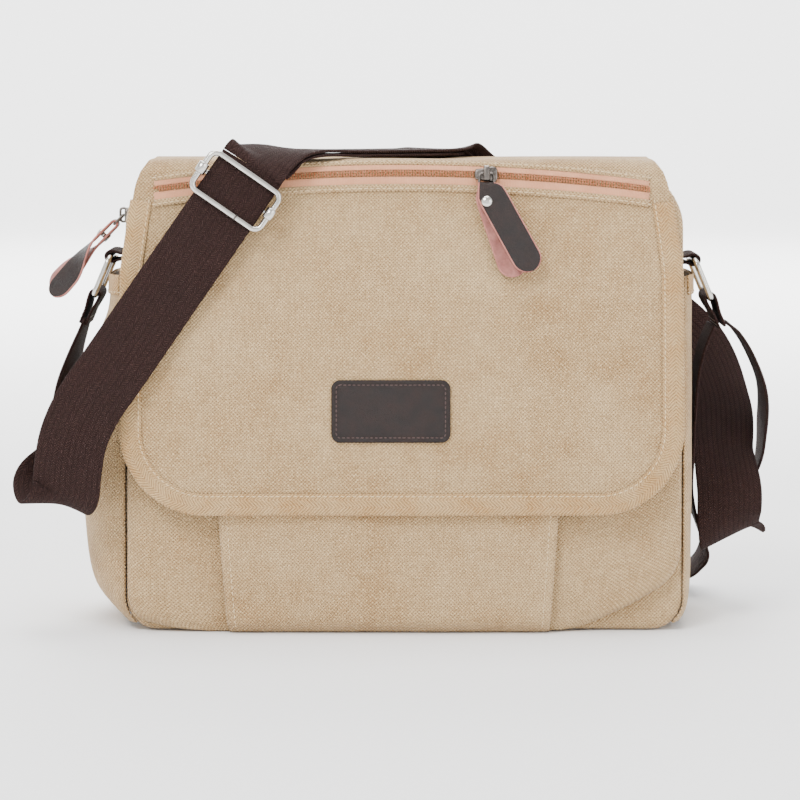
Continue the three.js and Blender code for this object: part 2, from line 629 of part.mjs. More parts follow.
// ---- Shoulder strap: flat webbing along a route of stations, each a point and the webbing's width ----
const downStrap = (distance) => ADJUSTER_CENTRE.clone().addScaledVector(STRAP_DOWN, distance).toArray();
const across = strapAcross.toArray();
const outerRoute = [
  [[-183.6, 0, 173], [0, 1, 0]],
  [[-190, -2, 154], [0.1, 1, 0]],
  [[-195, -8, 130], [0.25, 0.97, 0]],
  [[-199, -20, 108], [0.2, 0.98, 0]],
  [[-202, -37, 91], [0.2, 0.98, 0]],
  [[-203, -55, 80], [0.6, 0.8, 0]],
  [[-197, -67, 75.5], [0.95, 0.3, -0.1]],
  [[-189.5, -74, 80], [1, 0, -0.2]],
  [[-187, -77.5, 95], [0.95, 0, -0.3]],
  [[-183.5, -77.5, 113], [0.9, 0, -0.45]],
  [downStrap(145), across],
  [downStrap(118), across],
  [downStrap(90), across],
  [downStrap(60), across],
  [downStrap(30), across],
  [downStrap(0), across],
  [downStrap(-14), across],
  [downStrap(-19), across],
  [[-78, -46, 267], [0.78, -0.5, -0.36]],
  [[-68, -36, 270.5], [0.7, -0.7, -0.15]],
  [[-54, -24.5, 270.6], [0.62, -0.78, 0]],
  [[-36, -11, 269.9], [0.6, -0.8, 0]],
  [[-16, 2, 269.7], [0.58, -0.81, 0]],
  [[4, 14.5, 269.7], [0.62, -0.78, 0]],
  [[18, 25, 269.7], [0.78, -0.6, 0]],
  [[28, 37.5, 266.5], [0.86, -0.4, 0.25]],
  [[39, 43.5, 254], [0.82, -0.2, 0.5]],
  [[58, 47.5, 238], [0.65, -0.05, 0.75]],
  [[88, 52.5, 218], [0.57, 0, 0.82]],
  [[120, 58, 196], [0.57, 0.1, 0.8]],
  [[150, 61, 174], [0.65, 0.2, 0.73]],
  [[176, 57, 152], [0.8, 0.34, 0.48]],
  [[187.5, 39, 124], [0.72, 0.58, 0.4]],
  [[187, 13, 98], [0.66, 0.6, 0.45]],
  [[189.5, -2, 72], [0.86, 0.15, 0.42]],
  [[189.5, -2, 56], [0.88, 0, 0.45]],
  [[191, 8, 45], [0.88, 0, 0.45]],
  [[196, 24, 51], [0.75, 0.45, 0.4]],
  [[208, 35, 78], [0.15, 0.98, 0.1]],
  [[211, 26, 105], [0, 1, 0]],
  [[209, 13, 132], [0, 1, 0]],
  [[200, 5, 154], [0, 1, 0]],
  [[191, 1, 167], [0, 1, 0]],
  [[185.3, 0, 171.5], [0, 1, 0]],
];
const innerRoute = [
  [[177.9, 0, 170], [0, 1, 0]],
  [[173, 0, 158], [0, 1, 0]],
  [[169.3, 2, 140], [0, 1, 0]],
  [[168, 4, 120], [0, 1, 0]],
  [[167.6, 10, 98], [0, 1, 0]],
  [[168.3, 24, 76], [0, 1, 0]],
  [[172.5, 42, 56], [0, 1, 0]],
  [[178, 56, 42], [0, 1, 0]],
  [[181, 66, 28], [0, 1, 0]],
  [[175, 74, 15], [0, 1, 0]],
  [[160, 77, 8], [0, 1, 0]],
  [[138, 78, 5], [0, 1, 0]],
  [[114, 78, 8], [0, 1, 0]],
  [[98, 77, 22], [0.3, 0.95, 0]],
  [[90, 73, 45], [0.7, 0.7, 0]],
  [[82, 66, 78], [0.95, 0.3, 0]],
  [[72, 58, 118], [1, 0, 0]],
  [[60, 52.5, 160], [1, 0, 0.1]],
  [[46, 47.5, 200], [0.98, 0, 0.25]],
  [[36, 42.5, 232], [0.95, -0.1, 0.35]],
  [[27, 38.5, 254], [0.92, -0.25, 0.3]],
  [[19, 33.2, 264.6], [0.8, -0.45, 0.2]],
  [[14, 22.5, 267.5], [0.78, -0.6, 0]],
  [[2, 13, 267.5], [0.62, -0.78, 0]],
  [[-17, 1, 267.5], [0.58, -0.81, 0]],
  [[-37, -12, 267.7], [0.6, -0.8, 0]],
  [[-55, -25.5, 268.2], [0.62, -0.78, 0]],
  [[-69.5, -35, 267], [0.7, -0.7, -0.15]],
  [[-79, -44.5, 263], [0.78, -0.5, -0.36]],
];

// The stretch of a route between two station numbers, which may lie between stations.
function webbing(route, from, to) {
  const centres = new THREE.CatmullRomCurve3(route.map(([p]) => new THREE.Vector3(...p)));
  const widths = new THREE.CatmullRomCurve3(route.map(([, w]) => new THREE.Vector3(...w).normalize()));
  const last = route.length - 1;
  const count = Math.max(2, Math.ceil((to - from) * 2.5));
  const position = [];
  for (let i = 0; i <= count; i += 1) {
    const t = (from + (to - from) * i / count) / last;
    const centre = centres.getPoint(t);
    const tangent = centres.getTangent(t);
    const width = widths.getPoint(t);
    width.addScaledVector(tangent, -width.dot(tangent)).normalize();
    const normal = new THREE.Vector3().crossVectors(tangent, width);
    for (const [a, b] of [[-1, -1], [1, -1], [1, 1], [-1, 1]]) {
      const corner = centre.clone();
      corner.addScaledVector(width, a * WEB_WIDTH / 2).addScaledVector(normal, b * WEB_THICK / 2);
      position.push(corner.x, corner.y, corner.z);
    }
  }
  const index = [0, 2, 1, 0, 3, 2];
  for (let i = 0; i < count; i += 1) {
    for (let side = 0; side < 4; side += 1) {
      const a = i * 4 + side;
      const b = i * 4 + (side + 1) % 4;
      index.push(a, b, b + 4, a, b + 4, a + 4);
    }
  }
  const end = count * 4;
  index.push(end, end + 1, end + 2, end, end + 2, end + 3);
  const geometry = new THREE.BufferGeometry();
  geometry.setAttribute('position', new THREE.Float32BufferAttribute(position, 3));
  geometry.setIndex(index);
  return manifoldOf(geometry);
}

add('strap_left_loop', webbing(outerRoute, 0, 9.2), WEB_FINISH);
add('strap_front_run', webbing(outerRoute, 10, 16), WEB_FINISH);
add('strap_over_top', webbing(outerRoute, 16.1, 23.2), WEB_FINISH);
add('strap_back_run', webbing(outerRoute, 26.3, 35.5), WEB_FINISH);
add('strap_right_loop', webbing(outerRoute, 35.6, 43), WEB_FINISH);
add('strap_under_top', webbing(innerRoute, 22.8, 28), WEB_FINISH);
add('strap_inner_back', webbing(innerRoute, 13.1, 20), WEB_FINISH);
add('strap_inner_right', webbing(innerRoute, 0, 13), WEB_FINISH);

export default bag;
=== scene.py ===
import json
import math

import bmesh
import bpy
import numpy as np
from bpy.props import FloatProperty, FloatVectorProperty, PointerProperty
from mathutils import Matrix, Vector


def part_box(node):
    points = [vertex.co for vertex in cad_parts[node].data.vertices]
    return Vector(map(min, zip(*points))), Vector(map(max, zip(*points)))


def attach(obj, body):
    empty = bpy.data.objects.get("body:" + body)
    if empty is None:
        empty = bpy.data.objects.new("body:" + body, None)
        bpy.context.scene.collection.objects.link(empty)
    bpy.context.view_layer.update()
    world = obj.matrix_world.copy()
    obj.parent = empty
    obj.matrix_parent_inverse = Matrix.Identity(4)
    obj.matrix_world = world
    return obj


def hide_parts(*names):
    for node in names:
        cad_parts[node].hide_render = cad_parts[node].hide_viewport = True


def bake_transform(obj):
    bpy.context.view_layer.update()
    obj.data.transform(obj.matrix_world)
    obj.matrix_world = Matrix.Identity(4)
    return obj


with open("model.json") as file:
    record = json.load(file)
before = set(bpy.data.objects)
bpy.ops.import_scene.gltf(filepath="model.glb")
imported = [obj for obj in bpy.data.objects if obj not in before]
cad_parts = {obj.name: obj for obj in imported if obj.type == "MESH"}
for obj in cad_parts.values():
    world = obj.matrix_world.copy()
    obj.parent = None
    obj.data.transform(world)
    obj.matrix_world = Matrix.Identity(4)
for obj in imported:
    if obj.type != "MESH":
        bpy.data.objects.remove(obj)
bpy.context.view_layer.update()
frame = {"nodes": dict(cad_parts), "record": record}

bl_info = {
    "name": "Canvas messenger bag",
    "version": (1, 0, 0),
    "blender": (4, 5, 0),
    "location": "View3D > Sidebar > Bag",
    "description": "Builds a canvas messenger bag round its fixed frame",
    "category": "Object",
}

MM = 0.001
CLOTH_MAP = "cloth"

# ---- Shape of the bag in millimetres: +X is its right, the front faces -Y, the base is at Z 0 ----
HALF_WIDTH = 158
HEIGHT = 259
TOP_CORNER = 32
BASE_CORNER = 18
BASE_HALF_DEPTH = 55
TOP_HALF_DEPTH = 32
EDGE_ROUND = 5
ZIP_END = 214.3

POCKET_TOP = 188
SIDE_POCKET_TOP = 200
TAPE_WIDTH = 12.5

FLAP_X = -1.5
FLAP_HALF = 158
FLAP_CORNER = 48
FLAP_FOOT_Z = 68
FLAP_LEAN = math.radians(14.8)
FLAP_BINDING_TOP = 244
CANVAS = 2.0
LINING = 0.9

ZIP_ARC = 1100
ZIP_CENTRE_Z = 258

PATCH_CENTRE = (-7.6, 126.5)
PATCH_SIZE = (66.5, 35)
PATCH_CORNER = 5

WEB_HALF = 19
WEB_THICK = 1.7
WIRE = 3.4
RING_HINGES = {"left": (-1, -168, 210), "right": (1, 166, 208)}
RING_LEAN = math.radians(23)
RING_DROP = 24
RING_HALF = 21.8

ADJUSTER_CENTRE = np.array([-94, -55.5, 248.6])
STRAP_DOWN = np.array([-70.5, -17, -102]) / np.linalg.norm([-70.5, -17, -102])
ACROSS_GUIDE = np.array([0.822, 0, -0.569])
STRAP_ACROSS = ACROSS_GUIDE - STRAP_DOWN * ACROSS_GUIDE.dot(STRAP_DOWN)
STRAP_ACROSS = STRAP_ACROSS / np.linalg.norm(STRAP_ACROSS)
STRAP_INWARD = np.cross(STRAP_ACROSS, STRAP_DOWN)


def down_strap(distance):
    """A point of the strap line on the front of the flap, measured from the adjuster."""
    return (ADJUSTER_CENTRE + STRAP_DOWN * distance).tolist()


# Each station of the strap is a point and the direction of the webbing's width there.
ACROSS = STRAP_ACROSS.tolist()
OUTER_ROUTE = [
    [[-183.6, 0, 173], [0, 1, 0]],
    [[-190, -2, 154], [0.1, 1, 0]],
    [[-195, -8, 130], [0.25, 0.97, 0]],
    [[-199, -20, 108], [0.2, 0.98, 0]],
    [[-202, -37, 91], [0.2, 0.98, 0]],
    [[-203, -55, 80], [0.6, 0.8, 0]],
    [[-197, -67, 75.5], [0.95, 0.3, -0.1]],
    [[-189.5, -74, 80], [1, 0, -0.2]],
    [[-187, -77.5, 95], [0.95, 0, -0.3]],
    [[-183.5, -77.5, 113], [0.9, 0, -0.45]],
    [down_strap(145), ACROSS],
    [down_strap(118), ACROSS],
    [down_strap(90), ACROSS],
    [down_strap(60), ACROSS],
    [down_strap(30), ACROSS],
    [down_strap(0), ACROSS],
    [down_strap(-14), ACROSS],
    [down_strap(-19), ACROSS],
    [[-78, -46, 267], [0.78, -0.5, -0.36]],
    [[-68, -36, 270.5], [0.7, -0.7, -0.15]],
    [[-54, -24.5, 270.6], [0.62, -0.78, 0]],
    [[-36, -11, 269.9], [0.6, -0.8, 0]],
    [[-16, 2, 269.7], [0.58, -0.81, 0]],
    [[4, 14.5, 269.7], [0.62, -0.78, 0]],
    [[18, 25, 269.7], [0.78, -0.6, 0]],
    [[28, 37.5, 266.5], [0.86, -0.4, 0.25]],
    [[39, 43.5, 254], [0.82, -0.2, 0.5]],
    [[58, 47.5, 238], [0.65, -0.05, 0.75]],
    [[88, 52.5, 218], [0.57, 0, 0.82]],
    [[120, 58, 196], [0.57, 0.1, 0.8]],
    [[150, 61, 174], [0.65, 0.2, 0.73]],
    [[176, 57, 152], [0.8, 0.34, 0.48]],
    [[187.5, 39, 124], [0.72, 0.58, 0.4]],
    [[187, 13, 98], [0.66, 0.6, 0.45]],
    [[189.5, -2, 72], [0.86, 0.15, 0.42]],
    [[189.5, -2, 56], [0.88, 0, 0.45]],
    [[191, 8, 45], [0.88, 0, 0.45]],
    [[196, 24, 51], [0.75, 0.45, 0.4]],
    [[208, 35, 78], [0.15, 0.98, 0.1]],
    [[211, 26, 105], [0, 1, 0]],
    [[209, 13, 132], [0, 1, 0]],
    [[200, 5, 154], [0, 1, 0]],
    [[191, 1, 167], [0, 1, 0]],
    [[185.3, 0, 171.5], [0, 1, 0]],
]
INNER_ROUTE = [
    [[177.9, 0, 170], [0, 1, 0]],
    [[173, 0, 158], [0, 1, 0]],
    [[169.3, 2, 140], [0, 1, 0]],
    [[168, 4, 120], [0, 1, 0]],
    [[167.6, 10, 98], [0, 1, 0]],
    [[168.3, 24, 76], [0, 1, 0]],
    [[172.5, 42, 56], [0, 1, 0]],
    [[178, 56, 42], [0, 1, 0]],
    [[181, 66, 28], [0, 1, 0]],
    [[175, 74, 15], [0, 1, 0]],
    [[160, 77, 8], [0, 1, 0]],
    [[138, 78, 5], [0, 1, 0]],
    [[114, 78, 8], [0, 1, 0]],
    [[98, 77, 22], [0.3, 0.95, 0]],
    [[90, 73, 45], [0.7, 0.7, 0]],
    [[82, 66, 78], [0.95, 0.3, 0]],
    [[72, 58, 118], [1, 0, 0]],
    [[60, 52.5, 160], [1, 0, 0.1]],
    [[46, 47.5, 200], [0.98, 0, 0.25]],
    [[36, 42.5, 232], [0.95, -0.1, 0.35]],
    [[27, 38.5, 254], [0.92, -0.25, 0.3]],
    [[19, 33.2, 264.6], [0.8, -0.45, 0.2]],
    [[14, 22.5, 267.5], [0.78, -0.6, 0]],
    [[2, 13, 267.5], [0.62, -0.78, 0]],
    [[-17, 1, 267.5], [0.58, -0.81, 0]],
    [[-37, -12, 267.7], [0.6, -0.8, 0]],
    [[-55, -25.5, 268.2], [0.62, -0.78, 0]],
    [[-69.5, -35, 267], [0.7, -0.7, -0.15]],
    [[-79, -44.5, 263], [0.78, -0.5, -0.36]],
]


# ---- Colours and sizes that a user may change ----
def linear(hex_colour):
    """An sRGB hex colour as linear red, green and blue."""
    values = [int(hex_colour[i:i + 2], 16) / 255 for i in (1, 3, 5)]
    return tuple(v / 12.92 if v <= 0.04045 else ((v + 0.055) / 1.055) ** 2.4 for v in values)


def colour_property(name, description, hex_colour):
    """A colour that a user may change."""
    return FloatVectorProperty(
        name=name, description=description, default=linear(hex_colour),
        subtype="COLOR", min=0, max=1, size=3,
    )


def length_property(name, description, millimetres):
    """A length that a user may change."""
    return FloatProperty(
        name=name, description=description, default=millimetres * MM,
        unit="LENGTH", precision=4, min=0.0001,
    )


class BagColours(bpy.types.PropertyGroup):
    canvas: colour_property("Canvas", "Washed cotton canvas, its main colour", "#A8855A")
    # This colour is canvas washed lighter, and also a painted highlight on the crowns of the canvas threads
    # and on the ribs of the zip tape.
    canvas_faded_and_highlight: colour_property("Faded canvas", "Canvas where it is washed lighter", "#DCC094")
    # This colour is the darker tone of uneven canvas threads, and painted shade between the canvas threads,
    # between the tape's ribs and in the lining's creases.
    canvas_dark_and_shade: colour_property("Deep canvas", "Canvas between its threads and in the folds", "#604528")
    tape: colour_property("Binding tape", "Herringbone cotton tape", "#BF9560")
    lining: colour_property("Lining", "Plain woven lining", "#8F7F69")
    webbing: colour_property("Webbing", "Cotton webbing of the strap", "#231412")
    # This colour is the lint flecks of the webbing, and also a painted highlight on its raised ribs.
    webbing_fleck_and_highlight: colour_property("Webbing fleck", "Lighter flecks of the webbing", "#4A3531")
    leather: colour_property("Leather", "Oiled leather, grain side", "#1A100E")
    leather_rub: colour_property("Rubbed leather", "Leather where it is rubbed lighter", "#2B1D19")
    suede: colour_property("Suede", "Flesh side of the leather", "#97584F")
    raw_edge: colour_property("Cut edge", "Cut edge of the leather", "#C27F74")
    zip_tape: colour_property("Zip tape", "Woven tape of the zips", "#D69470")
    zip_coil: colour_property("Zip coil", "Nylon coil of the zips", "#A65E33")
    thread: colour_property("Thread", "Sewing thread on canvas", "#C9AE86")
    dark_thread: colour_property("Dark thread", "Sewing thread on leather and webbing", "#4B3733")
    nickel: colour_property("Nickel", "Polished nickel plate", "#D5D2CC")
    gunmetal: colour_property("Gunmetal", "Dark nickel plate", "#6A645F")
    board: colour_property("Board", "Grey board in the base", "#8C7A5C")


class BagSizes(bpy.types.PropertyGroup):
    canvas_thread: length_property("Canvas thread", "Spacing of the canvas threads", 1.05)
    tape_rib: length_property("Tape rib", "Spacing of the ribs of the herringbone tape", 2.0)
    web_rib: length_property("Webbing rib", "Spacing of the diagonal ribs of the webbing", 1.5)
    stitch_pitch: length_property("Stitch pitch", "Distance between stitches on canvas", 3.3)
    leather_stitch: length_property("Leather stitch", "Distance between stitches on leather", 2.6)
    zip_pitch: length_property("Coil pitch", "Distance between turns of a zip coil", 1.5)


def colour(name):
    """A colour of the bag as red, green, blue and alpha."""
    return (*getattr(bpy.context.scene.bag_colours, name), 1)


def size(name):
    """A size of the bag in metres."""
    return getattr(bpy.context.scene.bag_sizes, name)


# ---- Meshes from points in millimetres ----
def unit(vectors):
    """The vectors at length 1."""
    return vectors / np.maximum(np.linalg.norm(vectors, axis=-1, keepdims=True), 1e-9)


def build_mesh(name, points, faces, materials, uv=None, slots=None):
    """An object at the origin from points in millimetres, with its cloth map in metres."""
    mesh = bpy.data.meshes.new(name)
    mesh.from_pydata((np.asarray(points, float) * MM).tolist(), [], faces)
    if uv is not None:
        layer = mesh.uv_layers.new(name=CLOTH_MAP)
        corners = np.zeros(len(mesh.loops), np.int32)
        mesh.loops.foreach_get("vertex_index", corners)
        layer.data.foreach_set("uv", (np.asarray(uv, float)[corners] * MM).astype(np.float32).ravel())
    for material in materials:
        mesh.materials.append(bpy.data.materials[material])
    if slots is not None:
        mesh.polygons.foreach_set("material_index", slots)
    mesh.polygons.foreach_set("use_smooth", [True] * len(mesh.polygons))
    made = bpy.data.objects.new(name, mesh)
    bpy.context.scene.collection.objects.link(made)
    return made


def weld(made, distance=0.02):
    """Merges points that lie on each other, in millimetres."""
    work = bmesh.new()
    work.from_mesh(made.data)
    bmesh.ops.remove_doubles(work, verts=work.verts, dist=distance * MM)
    work.to_mesh(made.data)
    work.free()
    return made


def join(name, parts):
    """Joins mesh objects into one, which keeps their materials and cloth maps."""
    for part in parts:
        part.select_set(True)
    with bpy.context.temp_override(
        active_object=parts[0], object=parts[0],
        selected_objects=parts, selected_editable_objects=parts,
    ):
        bpy.ops.object.join()
    parts[0].name = name
    parts[0].data.name = name
    parts[0].select_set(False)
    return parts[0]


def grid_faces(rows, columns, closed=False, start=0):
    """Quads of a grid stored row by row, facing columns cross rows."""
    faces = []
    for r in range(rows - 1):
        for c in range(columns if closed else columns - 1):
            a = start + r * columns + c
            b = start + r * columns + (c + 1) % columns
            faces.append((a, b, b + columns, a + columns))
    return faces


def run_length(points):
    """How far along a line each of its points lies."""
    return np.concatenate([[0], np.cumsum(np.linalg.norm(np.diff(points, axis=0), axis=1))])


def grid_normals(grid):
    """The outward direction at each point of a grid."""
    return unit(np.cross(np.gradient(grid, axis=1), np.gradient(grid, axis=0)))


def cloth_sheet(name, grid, uv, thickness, material, lining=None):
    """A closed sheet whose outer face is the grid and whose inner face lies a thickness behind it."""
    rows, columns, _ = grid.shape
    count = rows * columns
    inner = grid - grid_normals(grid) * thickness
    inner[..., 2] = np.maximum(inner[..., 2], 0.3)
    points = np.concatenate([grid.reshape(-1, 3), inner.reshape(-1, 3)])
    outer_faces = grid_faces(rows, columns)
    faces = outer_faces + [tuple(i + count for i in reversed(face)) for face in outer_faces]
    rim = [*range(columns)]
    rim += [r * columns + columns - 1 for r in range(1, rows)]
    rim += [(rows - 1) * columns + c for c in range(columns - 2, -1, -1)]
    rim += [r * columns for r in range(rows - 2, 0, -1)]
    faces += [(b, a, a + count, b + count) for a, b in zip(rim, rim[1:] + rim[:1])]
    slots = [0] * len(outer_faces) + [1 if lining else 0] * len(outer_faces) + [0] * len(rim)
    flat_uv = uv.reshape(-1, 2)
    materials = [material, lining] if lining else [material]
    return build_mesh(name, points, faces, materials, np.concatenate([flat_uv, flat_uv]), slots)


def swept_loop(name, rings, materials, uv=None, slots=None, closed=False):
    """A closed body through rings of points, each ring a closed loop, with flat ends unless closed."""
    rows, columns, _ = rings.shape
    faces = grid_faces(rows, columns, closed=True)
    if closed:
        last = (rows - 1) * columns
        faces += [
            (last + c, last + (c + 1) % columns, (c + 1) % columns, c) for c in range(columns)
        ]
    else:
        faces.append(tuple(reversed(range(columns))))
        faces.append(tuple(range((rows - 1) * columns, rows * columns)))
    if slots is not None:
        slots = list(slots) * (rows - 1) + [slots[0], slots[0]]
    flat_uv = None if uv is None else uv.reshape(-1, 2)
    return build_mesh(name, rings.reshape(-1, 3), faces, materials, flat_uv, slots)


def strip(name, centres, across, half_widths, thickness, materials, columns=8):
    """A flat strip with rounded edges. Its three materials are for its outer side, its back and its edge."""
    centres = np.asarray(centres, float)
    count = len(centres)
    tangent = unit(np.gradient(centres, axis=0))
    across = np.broadcast_to(np.asarray(across, float), centres.shape)
    across = unit(across - tangent * np.sum(across * tangent, axis=1, keepdims=True))
    normal = np.cross(tangent, across)
    half = np.broadcast_to(np.asarray(half_widths, float), (count,))
    radius = thickness / 2
    turn = np.linspace(-90, 90, 5)[1:-1] * math.pi / 180
    span = np.linspace(1, -1, columns)
    section = [(u, 0.0, radius) for u in span]
    section += [(-1, -radius * math.cos(a), -radius * math.sin(a)) for a in turn]
    section += [(u, 0.0, -radius) for u in span[::-1]]
    section += [(1, radius * math.cos(a), radius * math.sin(a)) for a in turn]
    length = run_length(centres)
    rings = np.zeros((count, len(section), 3))
    uv = np.zeros((count, len(section), 2))
    for i, (u, side, height) in enumerate(section):
        reach = u * np.maximum(half - radius, 0.05) + side
        rings[:, i] = centres + across * reach[:, None] + normal * height
        uv[:, i, 0] = reach
        uv[:, i, 1] = length
    slots = None
    if len(materials) > 1:
        slots = [0] * (columns - 1) + [2] * 4 + [1] * (columns - 1) + [2] * 4
    return swept_loop(name, rings, materials, uv, slots)


def tube(name, path, radius, material, sides=12, closed=False):
    """A round wire along a path, which is a closed ring or has flat ends."""
    path = np.asarray(path, float)
    if closed:
        tangent = unit(np.roll(path, -1, axis=0) - np.roll(path, 1, axis=0))
    else:
        tangent = unit(np.gradient(path, axis=0))
    centre = path.mean(axis=0)
    plane = unit(np.cross(tangent[0], path[len(path) // 3] - centre + 1e-3))
    side = np.cross(tangent, plane)
    side = unit(side)
    other = np.cross(tangent, side)
    angles = np.linspace(0, 2 * math.pi, sides, endpoint=False)
    rings = np.stack([
        path - side * radius * math.cos(a) - other * radius * math.sin(a) for a in angles
    ], axis=1)
    return swept_loop(name, rings, [material], closed=closed)


def turned(name, profile, place, material, sides=32):
    """A turned piece from a profile of radius and height, starting and ending on its axis."""
    angles = np.linspace(0, 2 * math.pi, sides, endpoint=False)
    rings = np.array([
        [place(r * math.cos(a), r * math.sin(a), h) for a in angles] for r, h in profile
    ])
    rows, columns, _ = rings.shape
    made = build_mesh(name, rings.reshape(-1, 3), grid_faces(rows, columns, closed=True), [material])
    return weld(made, 0.005)


def slab(name, outline, place, layers, material):
    """A plate from a round-cornered outline. Each layer is an inset from the outline and a height."""
    outline = np.asarray(outline, float)
    edge = np.roll(outline, -1, axis=0) - np.roll(outline, 1, axis=0)
    inward = unit(np.stack([-edge[:, 1], edge[:, 0]], axis=1))
    rings = []
    uv = []
    for inset, height in layers:
        flat = outline + inward * inset
        rings.append([place(x, y, height) for x, y in flat])
        uv.append(flat)
    return swept_loop(name, np.array(rings), [material], np.array(uv))


def rounded_rectangle(x0, x1, y0, y1, radius, steps=8):
    """An outline against the clock, starting at the lower right."""
    corners = [(x1 - radius, y0 + radius, -90), (x1 - radius, y1 - radius, 0),
               (x0 + radius, y1 - radius, 90), (x0 + radius, y0 + radius, 180)]
    points = []
    for cx, cy, start in corners:
        for i in range(steps + 1):
            a = math.radians(start + 90 * i / steps)
            points.append((cx + radius * math.cos(a), cy + radius * math.sin(a)))
    return points


def catmull(points, per_span):
    """Points on the smooth centripetal curve through a list of points of any dimension."""
    points = np.asarray(points, float)
    ends = np.concatenate([[2 * points[0] - points[1]], points, [2 * points[-1] - points[-2]]])
    made = []
    for i in range(1, len(ends) - 2):
        p0, p1, p2, p3 = ends[i - 1:i + 3]
        gaps = [max(math.sqrt(np.linalg.norm(b - a)), 1e-4) for a, b in ((p0, p1), (p1, p2), (p2, p3))]
        start = ((p1 - p0) / gaps[0] - (p2 - p0) / (gaps[0] + gaps[1]) + (p2 - p1) / gaps[1]) * gaps[1]
        end = ((p2 - p1) / gaps[1] - (p3 - p1) / (gaps[1] + gaps[2]) + (p3 - p2) / gaps[2]) * gaps[1]
        for step in range(per_span):
            t = step / per_span
            made.append(
                p1 * (2 * t ** 3 - 3 * t ** 2 + 1) + start * (t ** 3 - 2 * t ** 2 + t)
                + p2 * (3 * t ** 2 - 2 * t ** 3) + end * (t ** 3 - t ** 2)
            )
    made.append(ends[-2])
    return np.array(made)


def ripple(a, b, wave, seed):
    """A smooth uneven height between about -1 and 1, its features a wave apart."""
    chance = np.random.default_rng(seed)
    total = 0
    for _ in range(7):
        angle = chance.uniform(0, math.pi)
        phase = chance.uniform(0, 2 * math.pi)
        length = wave * chance.uniform(0.7, 1.8)
        total = total + np.sin((a * math.cos(angle) + b * math.sin(angle)) * 2 * math.pi / length + phase)
    return total / 4


def smooth_step(value, low, high):
    """A smooth rise from 0 at low to 1 at high."""
    t = np.clip((value - low) / (high - low), 0, 1)
    return t * t * (3 - 2 * t)


def dense_ends(count):
    """Numbers from -1 to 1 that lie closer together near the ends."""
    return np.sin(np.linspace(-math.pi / 2, math.pi / 2, count))


def placed(origin, *turns):
    """A place in the bag's millimetres with turns about its own axes, the last turn first."""
    matrix = Matrix.Translation(Vector(origin))
    for angle, axis in turns:
        matrix = matrix @ Matrix.Rotation(angle, 4, axis)
    return matrix


def through(matrix):
    """A function that takes local points to the bag's millimetres."""
    rotation = np.array(matrix)[:3, :3]
    origin = np.array(matrix)[:3, 3]
    return lambda points: np.asarray(points, float) @ rotation.T + origin


# ---- Node trees ----
def add_node(tree, kind, inputs=(), **settings):
    """Adds a node, sets its properties, and sets or links its inputs by name or number."""
    made = tree.nodes.new(kind)
    for name, value in settings.items():
        setattr(made, name, value)
    for key, value in dict(inputs).items():
        if isinstance(value, bpy.types.NodeSocket):
            tree.links.new(value, made.inputs[key])
        else:
            made.inputs[key].default_value = value
    return made


def start_material(name, **shader_inputs):
    """A material with a Principled shader, and its uniform values set on the shader."""
    made = bpy.data.materials.new(name)
    made.use_nodes = True
    tree = made.node_tree
    shader = tree.nodes["Principled BSDF"]
    for key, value in shader_inputs.items():
        shader.inputs[key.replace("_", " ")].default_value = value
    return tree, shader


def mixed(tree, factor, first, second):
    """A blend of two colours."""
    made = add_node(tree, "ShaderNodeMix", {0: factor, 6: first, 7: second}, data_type="RGBA")
    return made.outputs[2]


def maths(tree, operation, *values):
    """One arithmetic step in a material."""
    return add_node(tree, "ShaderNodeMath", dict(enumerate(values)), operation=operation).outputs[0]


def ranged(tree, value, low, high, new_low=0.0, new_high=1.0):
    """A value moved from one range to another."""
    made = add_node(tree, "ShaderNodeMapRange", {0: value, 1: low, 2: high, 3: new_low, 4: new_high})
    return made.outputs[0]


def noise(tree, vector, scale, detail=3.0, roughness=0.55):
    """Cloudy noise from 0 to 1."""
    made = add_node(
        tree, "ShaderNodeTexNoise",
        {"Vector": vector, "Scale": scale, "Detail": detail, "Roughness": roughness},
    )
    return made.outputs[0]


def object_place(tree):
    """The place of a point in the piece, in metres."""
    return add_node(tree, "ShaderNodeTexCoord").outputs["Object"]


def cloth_place(tree, scale=1.0):
    """The piece's own cloth map, with thread counts instead of metres where a scale is given."""
    made = add_node(tree, "ShaderNodeUVMap", uv_map=CLOTH_MAP)
    if scale == 1.0:
        return made.outputs[0]
    return add_node(tree, "ShaderNodeMapping", {0: made.outputs[0], 3: (scale, scale, scale)}).outputs[0]


def set_bump(tree, shader, height, distance):
    """Links a height from 0 to 1 as bump, its full depth in metres."""
    made = add_node(
        tree, "ShaderNodeBump",
        {"Height": height, "Distance": distance, "Strength": 1.0},
    )
    tree.links.new(made.outputs[0], shader.inputs["Normal"])


def plain_weave(tree, thread):
    """The crossings, the slubs and the specks of a plain weave."""
    counted = cloth_place(tree, 1 / thread)
    wander = add_node(
        tree, "ShaderNodeTexNoise", {"Vector": counted, "Scale": 0.55, "Detail": 2.0},
    ).outputs["Color"]
    shifted = add_node(
        tree, "ShaderNodeVectorMath", {0: wander, 1: (0.7, 0.7, 0.0), 2: counted}, operation="MULTIPLY_ADD",
    ).outputs[0]
    split = add_node(tree, "ShaderNodeSeparateXYZ", {0: shifted})
    warp = maths(tree, "SINE", maths(tree, "MULTIPLY", split.outputs[0], math.pi))
    weft = maths(tree, "SINE", maths(tree, "MULTIPLY", split.outputs[1], math.pi))
    crossing = ranged(tree, maths(tree, "MULTIPLY", warp, weft), -1.0, 1.0)
    long_way = add_node(tree, "ShaderNodeMapping", {0: counted, 3: (0.9, 0.07, 1.0)}).outputs[0]
    short_way = add_node(tree, "ShaderNodeMapping", {0: counted, 3: (0.07, 0.9, 1.0)}).outputs[0]
    warp_slub = noise(tree, long_way, 1.0, 2.0)
    weft_slub = noise(tree, short_way, 1.0, 2.0)
    slub = maths(tree, "MULTIPLY", maths(tree, "ADD", warp_slub, weft_slub), 0.5)
    speck = noise(tree, counted, 0.8, 2.0, 0.7)
    return crossing, slub, speck


